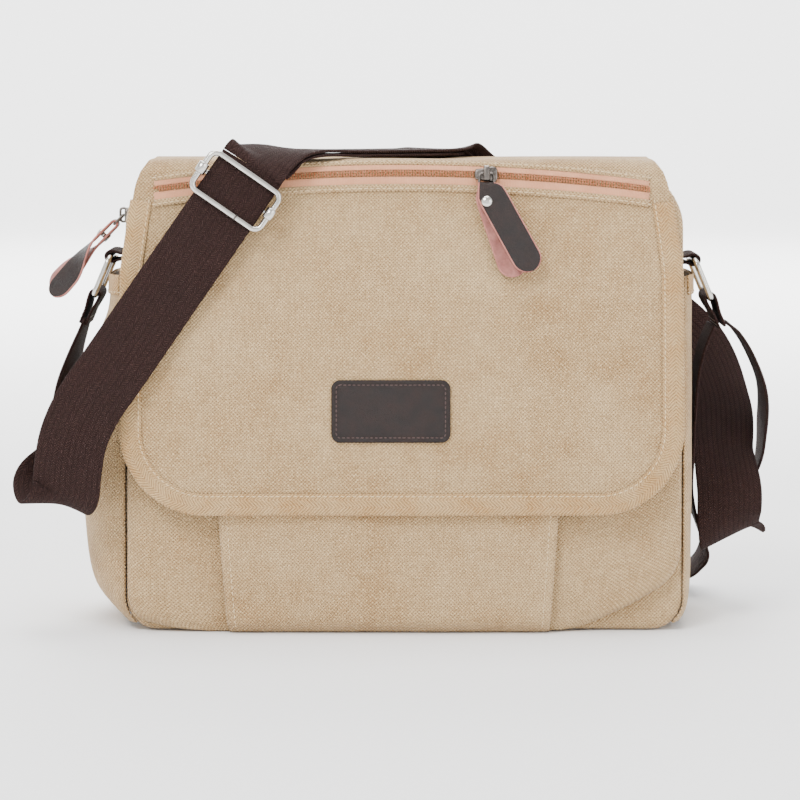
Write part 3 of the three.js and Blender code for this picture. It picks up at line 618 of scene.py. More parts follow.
def make_canvas():
    """Washed cotton canvas: a coarse plain weave, mottled by washing, worn paler and with a painted highlight
    on the thread crowns, and painted shade between the threads.
    """
    tree, shader = start_material("washed_cotton_canvas", Roughness=0.92, IOR=1.47)
    shader.inputs["Sheen Weight"].default_value = 0.18
    shader.inputs["Sheen Roughness"].default_value = 0.5
    shader.inputs["Specular IOR Level"].default_value = 0.25
    crossing, slub, speck = plain_weave(tree, size("canvas_thread"))
    place = object_place(tree)
    # Washing leaves cloudy patches about 60 mm across, and smaller ones of about 12 mm.
    clouds = ranged(tree, noise(tree, place, 16.0, 3.0), 0.35, 0.68)
    patches = ranged(tree, noise(tree, place, 85.0, 3.0, 0.65), 0.32, 0.7)
    base = mixed(tree, maths(tree, "MULTIPLY", clouds, 0.4), colour("canvas"), colour("canvas_faded_and_highlight"))
    base = mixed(tree, maths(tree, "MULTIPLY", patches, 0.3), base, colour("canvas_faded_and_highlight"))
    threads = ranged(tree, slub, 0.36, 0.62)
    base = mixed(tree, maths(tree, "MULTIPLY", maths(tree, "SUBTRACT", 1.0, threads), 0.3), base,
                 colour("canvas_dark_and_shade"))
    # The thread crowns are worn paler, and this lightening is also a painted highlight where light catches
    # them.
    crown = ranged(tree, maths(tree, "MULTIPLY", crossing, ranged(tree, speck, 0.35, 0.65)), 0.3, 0.8)
    base = mixed(tree, maths(tree, "MULTIPLY", crown, 0.85), base, colour("canvas_faded_and_highlight"))
    # Painted shade in the low parts between the threads.
    hollow = ranged(tree, crossing, 0.42, 0.0)
    base = mixed(tree, maths(tree, "MULTIPLY", hollow, 0.65), base, colour("canvas_dark_and_shade"))
    tree.links.new(base, shader.inputs["Base Color"])
    height = maths(tree, "ADD", crossing, maths(tree, "MULTIPLY", slub, 0.8))
    set_bump(tree, shader, height, 0.0005)


def make_tape():
    """Herringbone cotton tape: fine ribs that change direction every 3 mm, a little paler than canvas."""
    tree, shader = start_material("herringbone_cotton_tape", Roughness=0.88, IOR=1.47)
    shader.inputs["Sheen Weight"].default_value = 0.15
    shader.inputs["Specular IOR Level"].default_value = 0.25
    counted = cloth_place(tree, 1 / size("tape_rib"))
    split = add_node(tree, "ShaderNodeSeparateXYZ", {0: counted})
    zigzag = maths(tree, "PINGPONG", split.outputs[0], 2.1)
    along = maths(tree, "ADD", split.outputs[1], zigzag)
    ribs = maths(tree, "SINE", maths(tree, "MULTIPLY", along, 2 * math.pi))
    height = ranged(tree, ribs, -1.0, 1.0)
    place = object_place(tree)
    clouds = ranged(tree, noise(tree, place, 60.0, 3.0), 0.35, 0.65)
    fluff = noise(tree, place, 900.0, 2.0)
    base = mixed(tree, maths(tree, "MULTIPLY", clouds, 0.4), colour("tape"), colour("canvas_faded_and_highlight"))
    # Painted shade in the low parts between the ribs.
    base = mixed(tree, maths(tree, "MULTIPLY", maths(tree, "SUBTRACT", 1.0, height), 0.6), base,
                 colour("canvas_dark_and_shade"))
    base = mixed(tree, maths(tree, "MULTIPLY", ranged(tree, fluff, 0.4, 0.7), 0.25), base,
                 colour("canvas_faded_and_highlight"))
    tree.links.new(base, shader.inputs["Base Color"])
    set_bump(tree, shader, maths(tree, "ADD", height, fluff), 0.0004)


def make_webbing():
    """Dark cotton webbing: diagonal ribs with a painted highlight on their tops, pale flecks of lint, and a
    soft fuzzy sheen.
    """
    tree, shader = start_material("cotton_webbing", Roughness=0.93, IOR=1.47)
    shader.inputs["Sheen Weight"].default_value = 0.05
    shader.inputs["Sheen Roughness"].default_value = 0.45
    shader.inputs["Sheen Tint"].default_value = colour("webbing_fleck_and_highlight")
    shader.inputs["Specular IOR Level"].default_value = 0.2
    counted = cloth_place(tree, 1 / size("web_rib"))
    split = add_node(tree, "ShaderNodeSeparateXYZ", {0: counted})
    zigzag = maths(tree, "PINGPONG", split.outputs[0], 2.0)
    along = maths(tree, "ADD", split.outputs[1], zigzag)
    ribs = ranged(tree, maths(tree, "SINE", maths(tree, "MULTIPLY", along, 2 * math.pi)), -1.0, 1.0)
    column = ranged(tree, maths(tree, "SINE", maths(tree, "MULTIPLY", split.outputs[0], math.pi)), -1.0, 1.0)
    height = maths(tree, "MULTIPLY", ribs, ranged(tree, column, 0.0, 0.35))
    lint = ranged(tree, noise(tree, counted, 1.7, 2.0, 0.8), 0.52, 0.72)
    clouds = ranged(tree, noise(tree, object_place(tree), 45.0, 3.0), 0.35, 0.7)
    # Painted highlight: the raised ribs are drawn lighter.
    base = mixed(tree, maths(tree, "MULTIPLY", height, 0.3), colour("webbing"), colour("webbing_fleck_and_highlight"))
    base = mixed(tree, maths(tree, "MULTIPLY", lint, 0.45), base, colour("webbing_fleck_and_highlight"))
    base = mixed(tree, maths(tree, "MULTIPLY", clouds, 0.2), base, (0.012, 0.008, 0.007, 1))
    tree.links.new(base, shader.inputs["Base Color"])
    set_bump(tree, shader, maths(tree, "ADD", height, maths(tree, "MULTIPLY", lint, 0.4)), 0.00035)


def make_lining():
    """Plain woven cotton lining: finer and smoother than the canvas, slightly creased, with painted shade in
    the creases.
    """
    tree, shader = start_material("plain_cotton_lining", Roughness=0.85, IOR=1.47)
    shader.inputs["Sheen Weight"].default_value = 0.1
    place = object_place(tree)
    creases = ranged(tree, noise(tree, place, 30.0, 4.0), 0.3, 0.7)
    weave = noise(tree, place, 1500.0, 1.0)
    # Painted shade in the creases.
    base = mixed(tree, maths(tree, "MULTIPLY", creases, 0.35), colour("lining"), colour("canvas_dark_and_shade"))
    base = mixed(tree, maths(tree, "MULTIPLY", weave, 0.3), base, colour("canvas"))
    tree.links.new(base, shader.inputs["Base Color"])
    set_bump(tree, shader, maths(tree, "ADD", weave, maths(tree, "MULTIPLY", creases, 2.0)), 0.0003)


def make_leather():
    """Oiled cow leather, grain side: fine pebbled grain with painted shade in its creases, glossy where
    rubbed, paler on the bends.
    """
    tree, shader = start_material("oiled_cow_leather", IOR=1.5)
    shader.inputs["Specular IOR Level"].default_value = 0.3
    place = object_place(tree)
    # The pores are about 0.7 mm apart, drawn a little coarser than real grain so that they show.
    pores = add_node(
        tree, "ShaderNodeTexVoronoi", {"Vector": place, "Scale": 1400.0}, feature="DISTANCE_TO_EDGE",
    ).outputs[0]
    grain = ranged(tree, pores, 0.0, 0.3)
    wax = ranged(tree, noise(tree, place, 120.0, 4.0, 0.6), 0.35, 0.7)
    base = mixed(tree, wax, colour("leather"), colour("leather_rub"))
    # Painted shade: the creases between the pebbles of the grain are drawn near black.
    base = mixed(tree, maths(tree, "MULTIPLY", maths(tree, "SUBTRACT", 1.0, grain), 0.5), base,
                 (0.006, 0.004, 0.004, 1))
    tree.links.new(base, shader.inputs["Base Color"])
    tree.links.new(ranged(tree, wax, 0.0, 1.0, 0.42, 0.6), shader.inputs["Roughness"])
    set_bump(tree, shader, maths(tree, "ADD", grain, maths(tree, "MULTIPLY", wax, 0.6)), 0.00012)


def make_suede():
    """Flesh side of the leather: reddish, matt and napped, darker where the nap lies flat."""
    tree, shader = start_material("leather_flesh_side", Roughness=0.95, IOR=1.45)
    shader.inputs["Sheen Weight"].default_value = 0.4
    shader.inputs["Sheen Roughness"].default_value = 0.6
    place = object_place(tree)
    nap = noise(tree, place, 700.0, 3.0, 0.7)
    lay = ranged(tree, noise(tree, place, 110.0, 3.0), 0.35, 0.65)
    base = mixed(tree, lay, colour("suede"), colour("raw_edge"))
    base = mixed(tree, maths(tree, "MULTIPLY", nap, 0.5), base, colour("leather_rub"))
    tree.links.new(base, shader.inputs["Base Color"])
    set_bump(tree, shader, nap, 0.0003)


def make_raw_edge():
    """Cut edge of the leather: pale fibres, uneven along the cut."""
    tree, shader = start_material("cut_leather_edge", Roughness=0.9, IOR=1.45)
    place = object_place(tree)
    fibres = noise(tree, place, 900.0, 3.0, 0.7)
    stain = ranged(tree, noise(tree, place, 150.0, 2.0), 0.4, 0.65)
    base = mixed(tree, maths(tree, "MULTIPLY", stain, 0.6), colour("raw_edge"), colour("suede"))
    base = mixed(tree, maths(tree, "MULTIPLY", fibres, 0.35), base, colour("leather_rub"))
    tree.links.new(base, shader.inputs["Base Color"])
    set_bump(tree, shader, fibres, 0.0002)


def make_zip_tape():
    """Zip tape: fine woven ribs across its width, soft and slightly pink."""
    tree, shader = start_material("woven_zip_tape", Roughness=0.82, IOR=1.5)
    shader.inputs["Sheen Weight"].default_value = 0.15
    counted = cloth_place(tree, 1 / 0.0009)
    split = add_node(tree, "ShaderNodeSeparateXYZ", {0: counted})
    wave = maths(tree, "SINE", maths(tree, "MULTIPLY", split.outputs[1], 2 * math.pi))
    ribs = ranged(tree, wave, -1.0, 1.0)
    fade = ranged(tree, noise(tree, object_place(tree), 90.0, 3.0), 0.35, 0.65)
    # Painted highlight: the crowns of the ribs are drawn paler.
    base = mixed(tree, maths(tree, "MULTIPLY", ribs, 0.2), colour("zip_tape"), colour("canvas_faded_and_highlight"))
    base = mixed(tree, maths(tree, "MULTIPLY", fade, 0.2), base, colour("zip_coil"))
    tree.links.new(base, shader.inputs["Base Color"])
    set_bump(tree, shader, ribs, 0.00015)


def make_coil():
    """Nylon zip coil: smooth copper-brown monofilament, slightly scuffed on its crowns."""
    tree, shader = start_material("nylon_zip_coil", IOR=1.53)
    place = object_place(tree)
    scuff = ranged(tree, noise(tree, place, 400.0, 3.0), 0.35, 0.7)
    base = mixed(tree, maths(tree, "MULTIPLY", scuff, 0.4), colour("zip_coil"), colour("zip_tape"))
    tree.links.new(base, shader.inputs["Base Color"])
    tree.links.new(ranged(tree, scuff, 0.0, 1.0, 0.28, 0.5), shader.inputs["Roughness"])
    set_bump(tree, shader, scuff, 0.00004)


def make_thread(name, hue, shade):
    """Spun polyester thread: its plies show as tiny light and dark turns."""
    tree, shader = start_material(name, Roughness=0.7, IOR=1.5)
    shader.inputs["Sheen Weight"].default_value = 0.2
    plies = noise(tree, object_place(tree), 1800.0, 2.0)
    base = mixed(tree, ranged(tree, plies, 0.35, 0.65), colour(hue), colour(shade))
    tree.links.new(base, shader.inputs["Base Color"])
    set_bump(tree, shader, plies, 0.0001)


def make_plate(name, hue, smooth, rough):
    """Plated steel wire: bright, with faint polishing marks and a few duller smears."""
    tree, shader = start_material(name, Metallic=1.0)
    place = object_place(tree)
    marks = add_node(tree, "ShaderNodeMapping", {0: place, 3: (900.0, 140.0, 500.0)}).outputs[0]
    fine = noise(tree, marks, 1.0, 3.0)
    smear = ranged(tree, noise(tree, place, 130.0, 3.0), 0.35, 0.7)
    base = mixed(tree, maths(tree, "MULTIPLY", smear, 0.25), colour(hue), colour("gunmetal"))
    tree.links.new(base, shader.inputs["Base Color"])
    tree.links.new(ranged(tree, smear, 0.0, 1.0, smooth, rough), shader.inputs["Roughness"])
    set_bump(tree, shader, fine, 0.000006)


def make_board():
    """Grey board: pressed paper fibres with pale and dark specks."""
    tree, shader = start_material("grey_board", Roughness=0.9, IOR=1.5)
    place = object_place(tree)
    fibres = noise(tree, place, 500.0, 4.0, 0.7)
    base = mixed(tree, ranged(tree, fibres, 0.35, 0.7), colour("board"), colour("canvas_faded_and_highlight"))
    tree.links.new(base, shader.inputs["Base Color"])
    set_bump(tree, shader, fibres, 0.0002)


def make_floor():
    """Seamless studio paper: pale and matt, with a barely visible tooth."""
    tree, shader = start_material("studio_paper", Roughness=0.95)
    tooth = noise(tree, object_place(tree), 300.0, 2.0)
    base = mixed(tree, tooth, (*linear("#FAFAFA"), 1), (*linear("#F4F4F4"), 1))
    tree.links.new(base, shader.inputs["Base Color"])


# ---- Rows of stitches and coil turns, made by geometry nodes ----
def row_tree():
    """A tree that sets small rounded beads along rows of points, each turned to its row and surface."""
    tree = bpy.data.node_groups.new("Beads along rows", "GeometryNodeTree")
    face = tree.interface
    face.new_socket(name="Geometry", in_out="INPUT", socket_type="NodeSocketGeometry")
    for name in ("Pitch", "Length", "Width", "Height"):
        face.new_socket(name=name, in_out="INPUT", socket_type="NodeSocketFloat")
    face.new_socket(name="Seed", in_out="INPUT", socket_type="NodeSocketInt")
    face.new_socket(name="Material", in_out="INPUT", socket_type="NodeSocketMaterial")
    face.new_socket(name="Geometry", in_out="OUTPUT", socket_type="NodeSocketGeometry")
    given = add_node(tree, "NodeGroupInput").outputs
    curve = add_node(tree, "GeometryNodeMeshToCurve", {0: given["Geometry"]}).outputs[0]
    spaced = add_node(
        tree, "GeometryNodeResampleCurve", {"Curve": curve, "Length": given["Pitch"]}, mode="LENGTH",
    )
    tangent = add_node(tree, "GeometryNodeInputTangent").outputs[0]
    outward = add_node(tree, "GeometryNodeInputNamedAttribute", {"Name": "outward"}, data_type="FLOAT_VECTOR")
    lie = add_node(tree, "FunctionNodeAlignRotationToVector", {"Vector": tangent}, axis="X")
    face_out = add_node(
        tree, "FunctionNodeAlignRotationToVector", {0: lie.outputs[0], "Vector": outward.outputs[0]},
        axis="Z", pivot_axis="X",
    )
    # A sewn row is never quite even, so each stitch is a little longer or shorter than the next.
    uneven = add_node(
        tree, "FunctionNodeRandomValue", {2: 0.88, 3: 1.08, "Seed": given["Seed"]}, data_type="FLOAT",
    ).outputs[1]
    bead = add_node(tree, "GeometryNodeMeshUVSphere", {"Segments": 8, "Rings": 5, "Radius": 0.5}).outputs[0]
    rounded = add_node(tree, "GeometryNodeSetShadeSmooth", {0: bead}).outputs[0]
    long = add_node(tree, "ShaderNodeMath", {0: given["Length"], 1: uneven}, operation="MULTIPLY").outputs[0]
    extent = {0: long, 1: given["Width"], 2: given["Height"]}
    scale = add_node(tree, "ShaderNodeCombineXYZ", extent).outputs[0]
    set_out = add_node(
        tree, "GeometryNodeInstanceOnPoints",
        {"Points": spaced.outputs[0], "Instance": rounded, "Rotation": face_out.outputs[0], "Scale": scale},
    ).outputs[0]
    solid = add_node(tree, "GeometryNodeRealizeInstances", {0: set_out}).outputs[0]
    dressed = add_node(tree, "GeometryNodeSetMaterial", {0: solid, "Material": given["Material"]}).outputs[0]
    add_node(tree, "NodeGroupOutput", {0: dressed})
    return tree


def beads(name, rows, material, pitch, length, width, height, seed=3):
    """A plain mesh of beads along rows, each row its points and outward directions in millimetres."""
    tree = bpy.data.node_groups.get("Beads along rows") or row_tree()
    points, outward, edges = [], [], []
    for row, out in rows:
        first = len(points)
        points += (np.asarray(row, float) * MM).tolist()
        outward += np.broadcast_to(np.asarray(out, float), (len(row), 3)).tolist()
        edges += [(first + i, first + i + 1) for i in range(len(row) - 1)]
    mesh = bpy.data.meshes.new(name + "_rows")
    mesh.from_pydata(points, edges, [])
    mesh.attributes.new("outward", "FLOAT_VECTOR", "POINT").data.foreach_set(
        "vector", np.asarray(outward, np.float32).ravel())
    guide = bpy.data.objects.new(name + "_rows", mesh)
    modifier = guide.modifiers.new("Beads", "NODES")
    modifier.node_group = tree
    values = {
        "Pitch": pitch, "Length": length * MM, "Width": width * MM, "Height": height * MM,
        "Seed": seed, "Material": bpy.data.materials[material],
    }
    for item in tree.interface.items_tree:
        if item.in_out == "INPUT" and item.name in values:
            modifier[item.identifier] = values[item.name]
    bpy.context.scene.collection.objects.link(guide)
    bpy.context.view_layer.update()
    evaluated = guide.evaluated_get(bpy.context.evaluated_depsgraph_get())
    result = bpy.data.meshes.new_from_object(evaluated)
    result.name = name
    bpy.data.objects.remove(guide)
    made = bpy.data.objects.new(name, result)
    bpy.context.scene.collection.objects.link(made)
    return made


def stitches(name, rows, body, material="spun_thread", pitch="stitch_pitch"):
    """Rows of lockstitch on a body."""
    step = size(pitch)
    made = beads(name, rows, material, step, step / MM * 0.78, 0.75, 0.6)
    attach(made, body)
    return made


def finish_piece(made, body, slot, *nodes):
    """Sets a piece on its body and lets it stand for its CAD nodes, which it hides; its slot is not used."""
    if body:
        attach(made, body)
    if nodes:
        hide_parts(*nodes)
    return made


def dress_node(node, material):
    """Gives a CAD node a finished material."""
    shown = frame["nodes"][node]
    shown.data.materials.clear()
    shown.data.materials.append(bpy.data.materials[material])


# ---- Surfaces that several pieces lie on ----
def half_depth(z):
    """Half the bag's depth at a height."""
    return BASE_HALF_DEPTH - (BASE_HALF_DEPTH - TOP_HALF_DEPTH) / HEIGHT * z


def trace_flap():
    """The flap's outer face in Y and Z from its foot over the top to the seam behind, with its tangents."""
    bend = [(-69, 68), (-68.5, 80), (-67.3, 105), (-64.5, 140), (-61, 170), (-57.2, 190)]
    slope = [(-57.2 + (z - 190) * math.tan(FLAP_LEAN), z) for z in (205, 225, 245)]
    lower = catmull(bend + slope, 8)
    roll = 10
    top_z = 266
    plane_z = top_z - roll + roll * math.sin(FLAP_LEAN)
    roll_y = -58 + (plane_z - 190) * math.tan(FLAP_LEAN) + roll * math.cos(FLAP_LEAN)
    turn = [
        (roll_y - roll * math.sin(a), top_z - roll + roll * math.cos(a))
        for a in np.linspace(math.pi / 2 - FLAP_LEAN, 0, 9)
    ]
    over = [(y, top_z - 0.8 * math.sin(math.pi * (y + 30) / 57)) for y in np.linspace(-24, 24, 9)]
    back = [
        (27 + 9.2 * math.sin(a), top_z - 9 + 9 * math.cos(a)) for a in np.linspace(0.1, math.pi / 2, 8)
    ]
    tail = [(36.3, 253), (36.4, 248.5), (36.7, 245)]
    path = np.concatenate([lower, turn, over, back, tail])
    steps = run_length(path)
    along = np.arange(0, steps[-1], 1.0)
    path = np.stack([np.interp(along, steps, path[:, i]) for i in (0, 1)], axis=1)
    tangent = unit(np.gradient(path, axis=0))
    for _ in range(3):
        tangent[1:-1] = unit(tangent[:-2] + tangent[1:-1] * 2 + tangent[2:])
    return along, path, tangent


FLAP_ALONG, FLAP_PATH, FLAP_TANGENT = trace_flap()
FLAP_LENGTH = FLAP_ALONG[-1]
FLAP_CREST = int(np.argmax(FLAP_PATH[:, 1]))


def flap_at(z):
    """Distance along the flap at a height on its front."""
    return np.interp(z, FLAP_PATH[:FLAP_CREST, 1], FLAP_ALONG[:FLAP_CREST])


def flap_half(along):
    """Half the flap's width at a distance along it."""
    z = np.interp(along, FLAP_ALONG, FLAP_PATH[:, 1])
    z = np.where(along > FLAP_ALONG[FLAP_CREST], 266, z)
    low = np.clip(FLAP_FOOT_Z + FLAP_CORNER - z, 0, FLAP_CORNER)
    corner = FLAP_HALF - FLAP_CORNER + np.sqrt(np.maximum(FLAP_CORNER ** 2 - low ** 2, 0))
    shoulder = np.interp(z, [205, 243, 252, 260, 266], [0, 5, 6.6, 9.6, 13.6])
    return corner - shoulder


def flap_point(x, along, out=0.0):
    """A point on the flap's outer face, or out from it, with the cloth's soft unevenness."""
    x, along, out = np.broadcast_arrays(*(np.asarray(value, float) for value in (x, along, out)))
    y = np.interp(along, FLAP_ALONG, FLAP_PATH[:, 0])
    z = np.interp(along, FLAP_ALONG, FLAP_PATH[:, 1])
    ty = np.interp(along, FLAP_ALONG, FLAP_TANGENT[:, 0])
    tz = np.interp(along, FLAP_ALONG, FLAP_TANGENT[:, 1])
    fade = smooth_step(along, 0, 30) * smooth_step(FLAP_LENGTH - along, 60, 90)
    soft = 0.55 * ripple(x, along, 75, 11) * (0.35 + 0.65 * fade)
    soft = soft * (1 - 0.9 * np.exp(-((along - flap_at(ZIP_CENTRE_Z - 3)) / 16) ** 2))
    side = np.abs(x - FLAP_X) / FLAP_HALF
    soft = soft - 2.2 * smooth_step(side, 0.78, 1.0) * smooth_step(along, 20, 100) * fade
    hem = smooth_step(26 - along, 0, 26) * 0.8 * np.sin(x / 23 + 1.1)
    out = out + soft + hem
    return np.stack([x, y - out * tz, z + out * ty], axis=-1)


def flap_outline(inset=0.0):
    """The bound edge of the flap from its left shoulder round the bottom to its right shoulder."""
    top = flap_at(FLAP_BINDING_TOP)
    foot = flap_at(FLAP_FOOT_Z)
    rises = np.linspace(top, FLAP_CORNER, 42)
    left = [(FLAP_X - float(flap_half(s)), s) for s in rises]
    radius = FLAP_CORNER
    inner = FLAP_HALF - radius
    turn = np.linspace(0, math.pi / 2, 18)[1:]
    left += [
        (FLAP_X - inner - radius * math.cos(a), foot + radius - radius * math.sin(a)) for a in turn
    ]
    bottom = [(x, foot) for x in np.linspace(FLAP_X - inner, FLAP_X + inner, 56)[1:-1]]
    right = [(2 * FLAP_X - x, s) for x, s in reversed(left)]
    points = np.array(left + bottom + right)
    edge = np.gradient(points, axis=0)
    inward = unit(np.stack([-edge[:, 1], edge[:, 0]], axis=1))
    return points + inward * inset


def body_distance(x, z):
    """Distance in from the outline of the bag's front or back."""
    side = HALF_WIDTH - np.abs(x)
    near = np.minimum(side, np.minimum(HEIGHT - z, z - 0.3))
    corners = ((HEIGHT - TOP_CORNER, TOP_CORNER, 1), (0.3 + BASE_CORNER, BASE_CORNER, -1))
    for centre_z, radius, above in corners:
        dx = np.abs(x) - (HALF_WIDTH - radius)
        dz = (z - centre_z) * above
        inside = (dx > 0) & (dz > 0)
        near = np.where(inside, radius - np.hypot(dx, dz), near)
    return np.maximum(near, 0)


def pocket_profile():
    """The front pocket's face from left to right as X and depth out, with its two folded pleats."""
    left = [(-156, -1.2), (-156.6, 1.4), (-155.6, 4), (-152, 5.3), (-142, 5.6), (-124, 5.4), (-108, 5.2),
            (-100, 5.3), (-98.2, 5.9), (-99.5, 6.6), (-103.4, 7.4), (-105.2, 9), (-104.8, 11.2), (-102, 12.4)]
    middle = [(x, 12.6) for x in np.linspace(-94, 76, 16)]
    right = [(84, 12.4), (86.8, 11.2), (87.2, 9), (85.4, 7.4), (81.6, 6.6), (80.2, 5.9), (82, 5.3),
             (92, 5.2), (108, 5.4), (128, 5.6), (144, 5.6), (152, 5.3), (155.6, 4), (156.6, 1.4), (156, -1.2)]
    return catmull(left + middle + right, 4)


POCKET_FACE = pocket_profile()


def pocket_point(column, z, out=0.0):
    """A point on the front pocket from its profile column and height."""
    x0 = POCKET_FACE[column, 0]
    depth = POCKET_FACE[column, 1]
    x0, depth, z, out = np.broadcast_arrays(x0, depth, np.asarray(z, float), np.asarray(out, float))
    share = np.clip(z / POCKET_TOP, 0, 1)
    right_lift = 15 * np.clip((x0 - 83) / 59, 0, 1.3) ** 2
    left_lift = 5 * np.clip((-x0 - 118) / 38, 0, 1) ** 2
    lift = np.where(x0 > 0, right_lift, left_lift)
    height = 0.6 + lift * (1 - share) + (POCKET_TOP - 0.6) * share
    radius = np.where(x0 > 0, 26, 18)
    low = np.clip(radius - (height - lift), 0, radius)
    tuck = radius - np.sqrt(radius ** 2 - low ** 2)
    outer = smooth_step(np.abs(x0), 96, 150)
    pleat = np.interp(share, [0, 0.35, 1], [1, 0.1, 0])
    x = x0 - np.sign(x0) * tuck * outer * 0.8
    beside_pleat = smooth_step(np.abs(x0), 25, 95) * (1 - smooth_step(np.abs(x0), 112, 145))
    x = x - np.sign(x0) * 5.5 * pleat * beside_pleat
    foot = smooth_step(height - lift * 0.8, -1, 9)
    belly = 3.2 * np.sin(math.pi * np.clip(share * 1.35, 0, 1)) * (1 - (x0 / 160) ** 2)
    belly = belly * smooth_step(depth, 0, 4)
    soft = 0.75 * ripple(x0, z, 62, 5) * smooth_step(depth, 1, 5)
    in_corner = smooth_step(np.abs(x0), 104, 124) * smooth_step(60 - z, 0, 30)
    corner_soft = 1.5 * np.sin(x0 / 8 + z / 11) * in_corner
    corner_soft = corner_soft * smooth_step(depth, 1, 5) * smooth_step(z, 2, 16)
    distance = (depth + belly + soft + corner_soft * 0.6) * (0.35 + 0.65 * foot) + out
    return np.stack([x, -half_depth(height) - distance, height], axis=-1)


LEFT_BELLY = catmull([(161, 5), (167, 10), (179, 24), (185, 60), (186, 105), (185, 140), (176, 165),
                      (170, 180), (168.5, 200)], 6)
RIGHT_BELLY = catmull([(160, 5), (162, 9), (164.4, 24), (165.2, 61), (165.2, 105), (165.2, 150),
                       (164.8, 180), (164.5, 200)], 6)


def side_pocket_point(side, t, z, out=0.0):
    """A point on a side pocket at a height, t running from -1 at its front edge to 1 at its back."""
    belly = LEFT_BELLY if side < 0 else RIGHT_BELLY
    t, z, out = np.broadcast_arrays(np.asarray(t, float), np.asarray(z, float), np.asarray(out, float))
    reach = np.interp(z, belly[:, 1], belly[:, 0])
    swell = np.maximum(1 - np.abs(t) ** 3.4, 0) ** 0.6
    soft = (1.1 if side < 0 else 0.3) * ripple(z, t * 45, 70, 8 + side) * swell
    low = np.clip(BASE_CORNER + 0.3 - z, 0, BASE_CORNER)
    base = HALF_WIDTH + 0.2 - (BASE_CORNER - np.sqrt(BASE_CORNER ** 2 - low ** 2))
    x = base + np.maximum(reach - base + soft, 0.4) * swell + out
    return np.stack([side * x, t * (half_depth(z) - 0.8), z], axis=-1)


# ---- Operators, one for each piece or group of like pieces ----
class BAG_OT_materials(bpy.types.Operator):
    """Make every finish of the bag"""
    bl_idname = "bag.materials"
    bl_label = "Finishes"

    def execute(self, context):
        make_canvas()
        make_tape()
        make_webbing()
        make_lining()
        make_leather()
        make_suede()
        make_raw_edge()
        make_zip_tape()
        make_coil()
        make_thread("spun_thread", "thread", "canvas_faded_and_highlight")
        make_thread("dark_spun_thread", "dark_thread", "webbing_fleck_and_highlight")
        make_plate("polished_nickel_plate", "nickel", 0.12, 0.26)
        make_plate("dark_nickel_plate", "gunmetal", 0.22, 0.4)
        make_board()
        make_floor()
        return {"FINISHED"}


class BAG_OT_stage(bpy.types.Operator):
    """Set up the pale paper sweep, the soft lights and the camera"""
    bl_idname = "bag.stage"
    bl_label = "Stage"

    def execute(self, context):
        profile = [(0, 0)] + [(r, 0) for r in (400, 1000, 2200, 4200)]
        profile += [(4200 + 1800 * math.sin(a), 1800 - 1800 * math.cos(a))
                    for a in np.linspace(0.15, math.pi / 2, 10)]
        profile += [(6000, 3500)]
        angles = np.linspace(0, 2 * math.pi, 72, endpoint=False)
        rings = np.array([[(r * math.cos(a), r * math.sin(a), h - 0.2) for a in angles] for r, h in profile])
        faces = [tuple(reversed(face)) for face in grid_faces(len(profile), len(angles), closed=True)]
        sweep = weld(build_mesh("paper_sweep", rings.reshape(-1, 3), faces, ["studio_paper"]))

        camera = bpy.data.objects.new("camera", bpy.data.cameras.new("camera"))
        camera.data.lens = 127
        camera.data.sensor_width = 36
        camera.data.clip_end = 30
        aim = Vector((-0.0025, -0.04, 0.130))
        rise = math.radians(6.5)
        away = Vector((0, -math.cos(rise), math.sin(rise)))
        camera.location = aim + away * 1.6
        camera.rotation_euler = (-away).to_track_quat("-Z", "Y").to_euler()
        context.scene.collection.objects.link(camera)
        context.scene.camera = camera

        world = context.scene.world or bpy.data.worlds.new("studio")
        context.scene.world = world
        world.use_nodes = True
        background = world.node_tree.nodes["Background"]
        background.inputs[0].default_value = (1, 1, 1, 1)
        background.inputs[1].default_value = 1.0
        for name, place, aim_at, power, width in (
            ("key", (-1.3, -2.0, 2.6), (0, 0, 0.12), 88, 1.1),
            ("fill", (2.2, -2.0, 1.3), (0, 0, 0.12), 24, 1.8),
            ("top", (0.0, 0.2, 2.8), (0, 0, 0.12), 80, 1.8),
            ("back", (0.0, 3.0, 2.2), (0, 0, 0.12), 120, 2.6),
            ("wall", (0.0, 2.2, 3.0), (0, 6, 0.8), 420, 3.0),
        ):
            light = bpy.data.objects.new(name, bpy.data.lights.new(name, "AREA"))
            light.data.energy = power
            light.data.size = width
            light.location = place
            towards = Vector(aim_at) - Vector(place)
            light.rotation_euler = towards.to_track_quat("-Z", "Y").to_euler()
            context.scene.collection.objects.link(light)
        return {"FINISHED"}


def strap_piece(name, route, first, last, sense, nodes):
    """A stretch of webbing between two station numbers."""
    per_span = 10
    places = catmull([p for p, _ in route], per_span)
    widths = catmull([unit(np.array(w, float)) for _, w in route], per_span)
    low, high = round(first * per_span), round(last * per_span) + 1
    places, widths = places[low:high], widths[low:high]
    made = strip(name, places, widths, WEB_HALF, WEB_THICK, ["cotton_webbing"], columns=12)
    sense = np.array(sense, float)
    finish_piece(made, None, "webbing", *nodes)
    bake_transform(made)
    return made


class BAG_OT_strap(bpy.types.Operator):
    """Lay the shoulder strap along its route in three stretches"""
    bl_idname = "bag.strap"
    bl_label = "Shoulder strap"

    def execute(self, context):
        strap_piece(
            "strap_left", OUTER_ROUTE, 0, 16.5, (0.5, -1, 0.2),
            ["strap_left_loop", "strap_front_run"],
        )
        strap_piece(
            "strap_right", OUTER_ROUTE, 16.5, 43, (0.6, 1, -0.8),
            ["strap_over_top", "strap_back_run", "strap_right_loop"],
        )
        strap_piece(
            "strap_under", INNER_ROUTE, 0, 28, (0.6, 1, -0.8),
            ["strap_under_top", "strap_inner_back", "strap_inner_right"],
        )
        return {"FINISHED"}


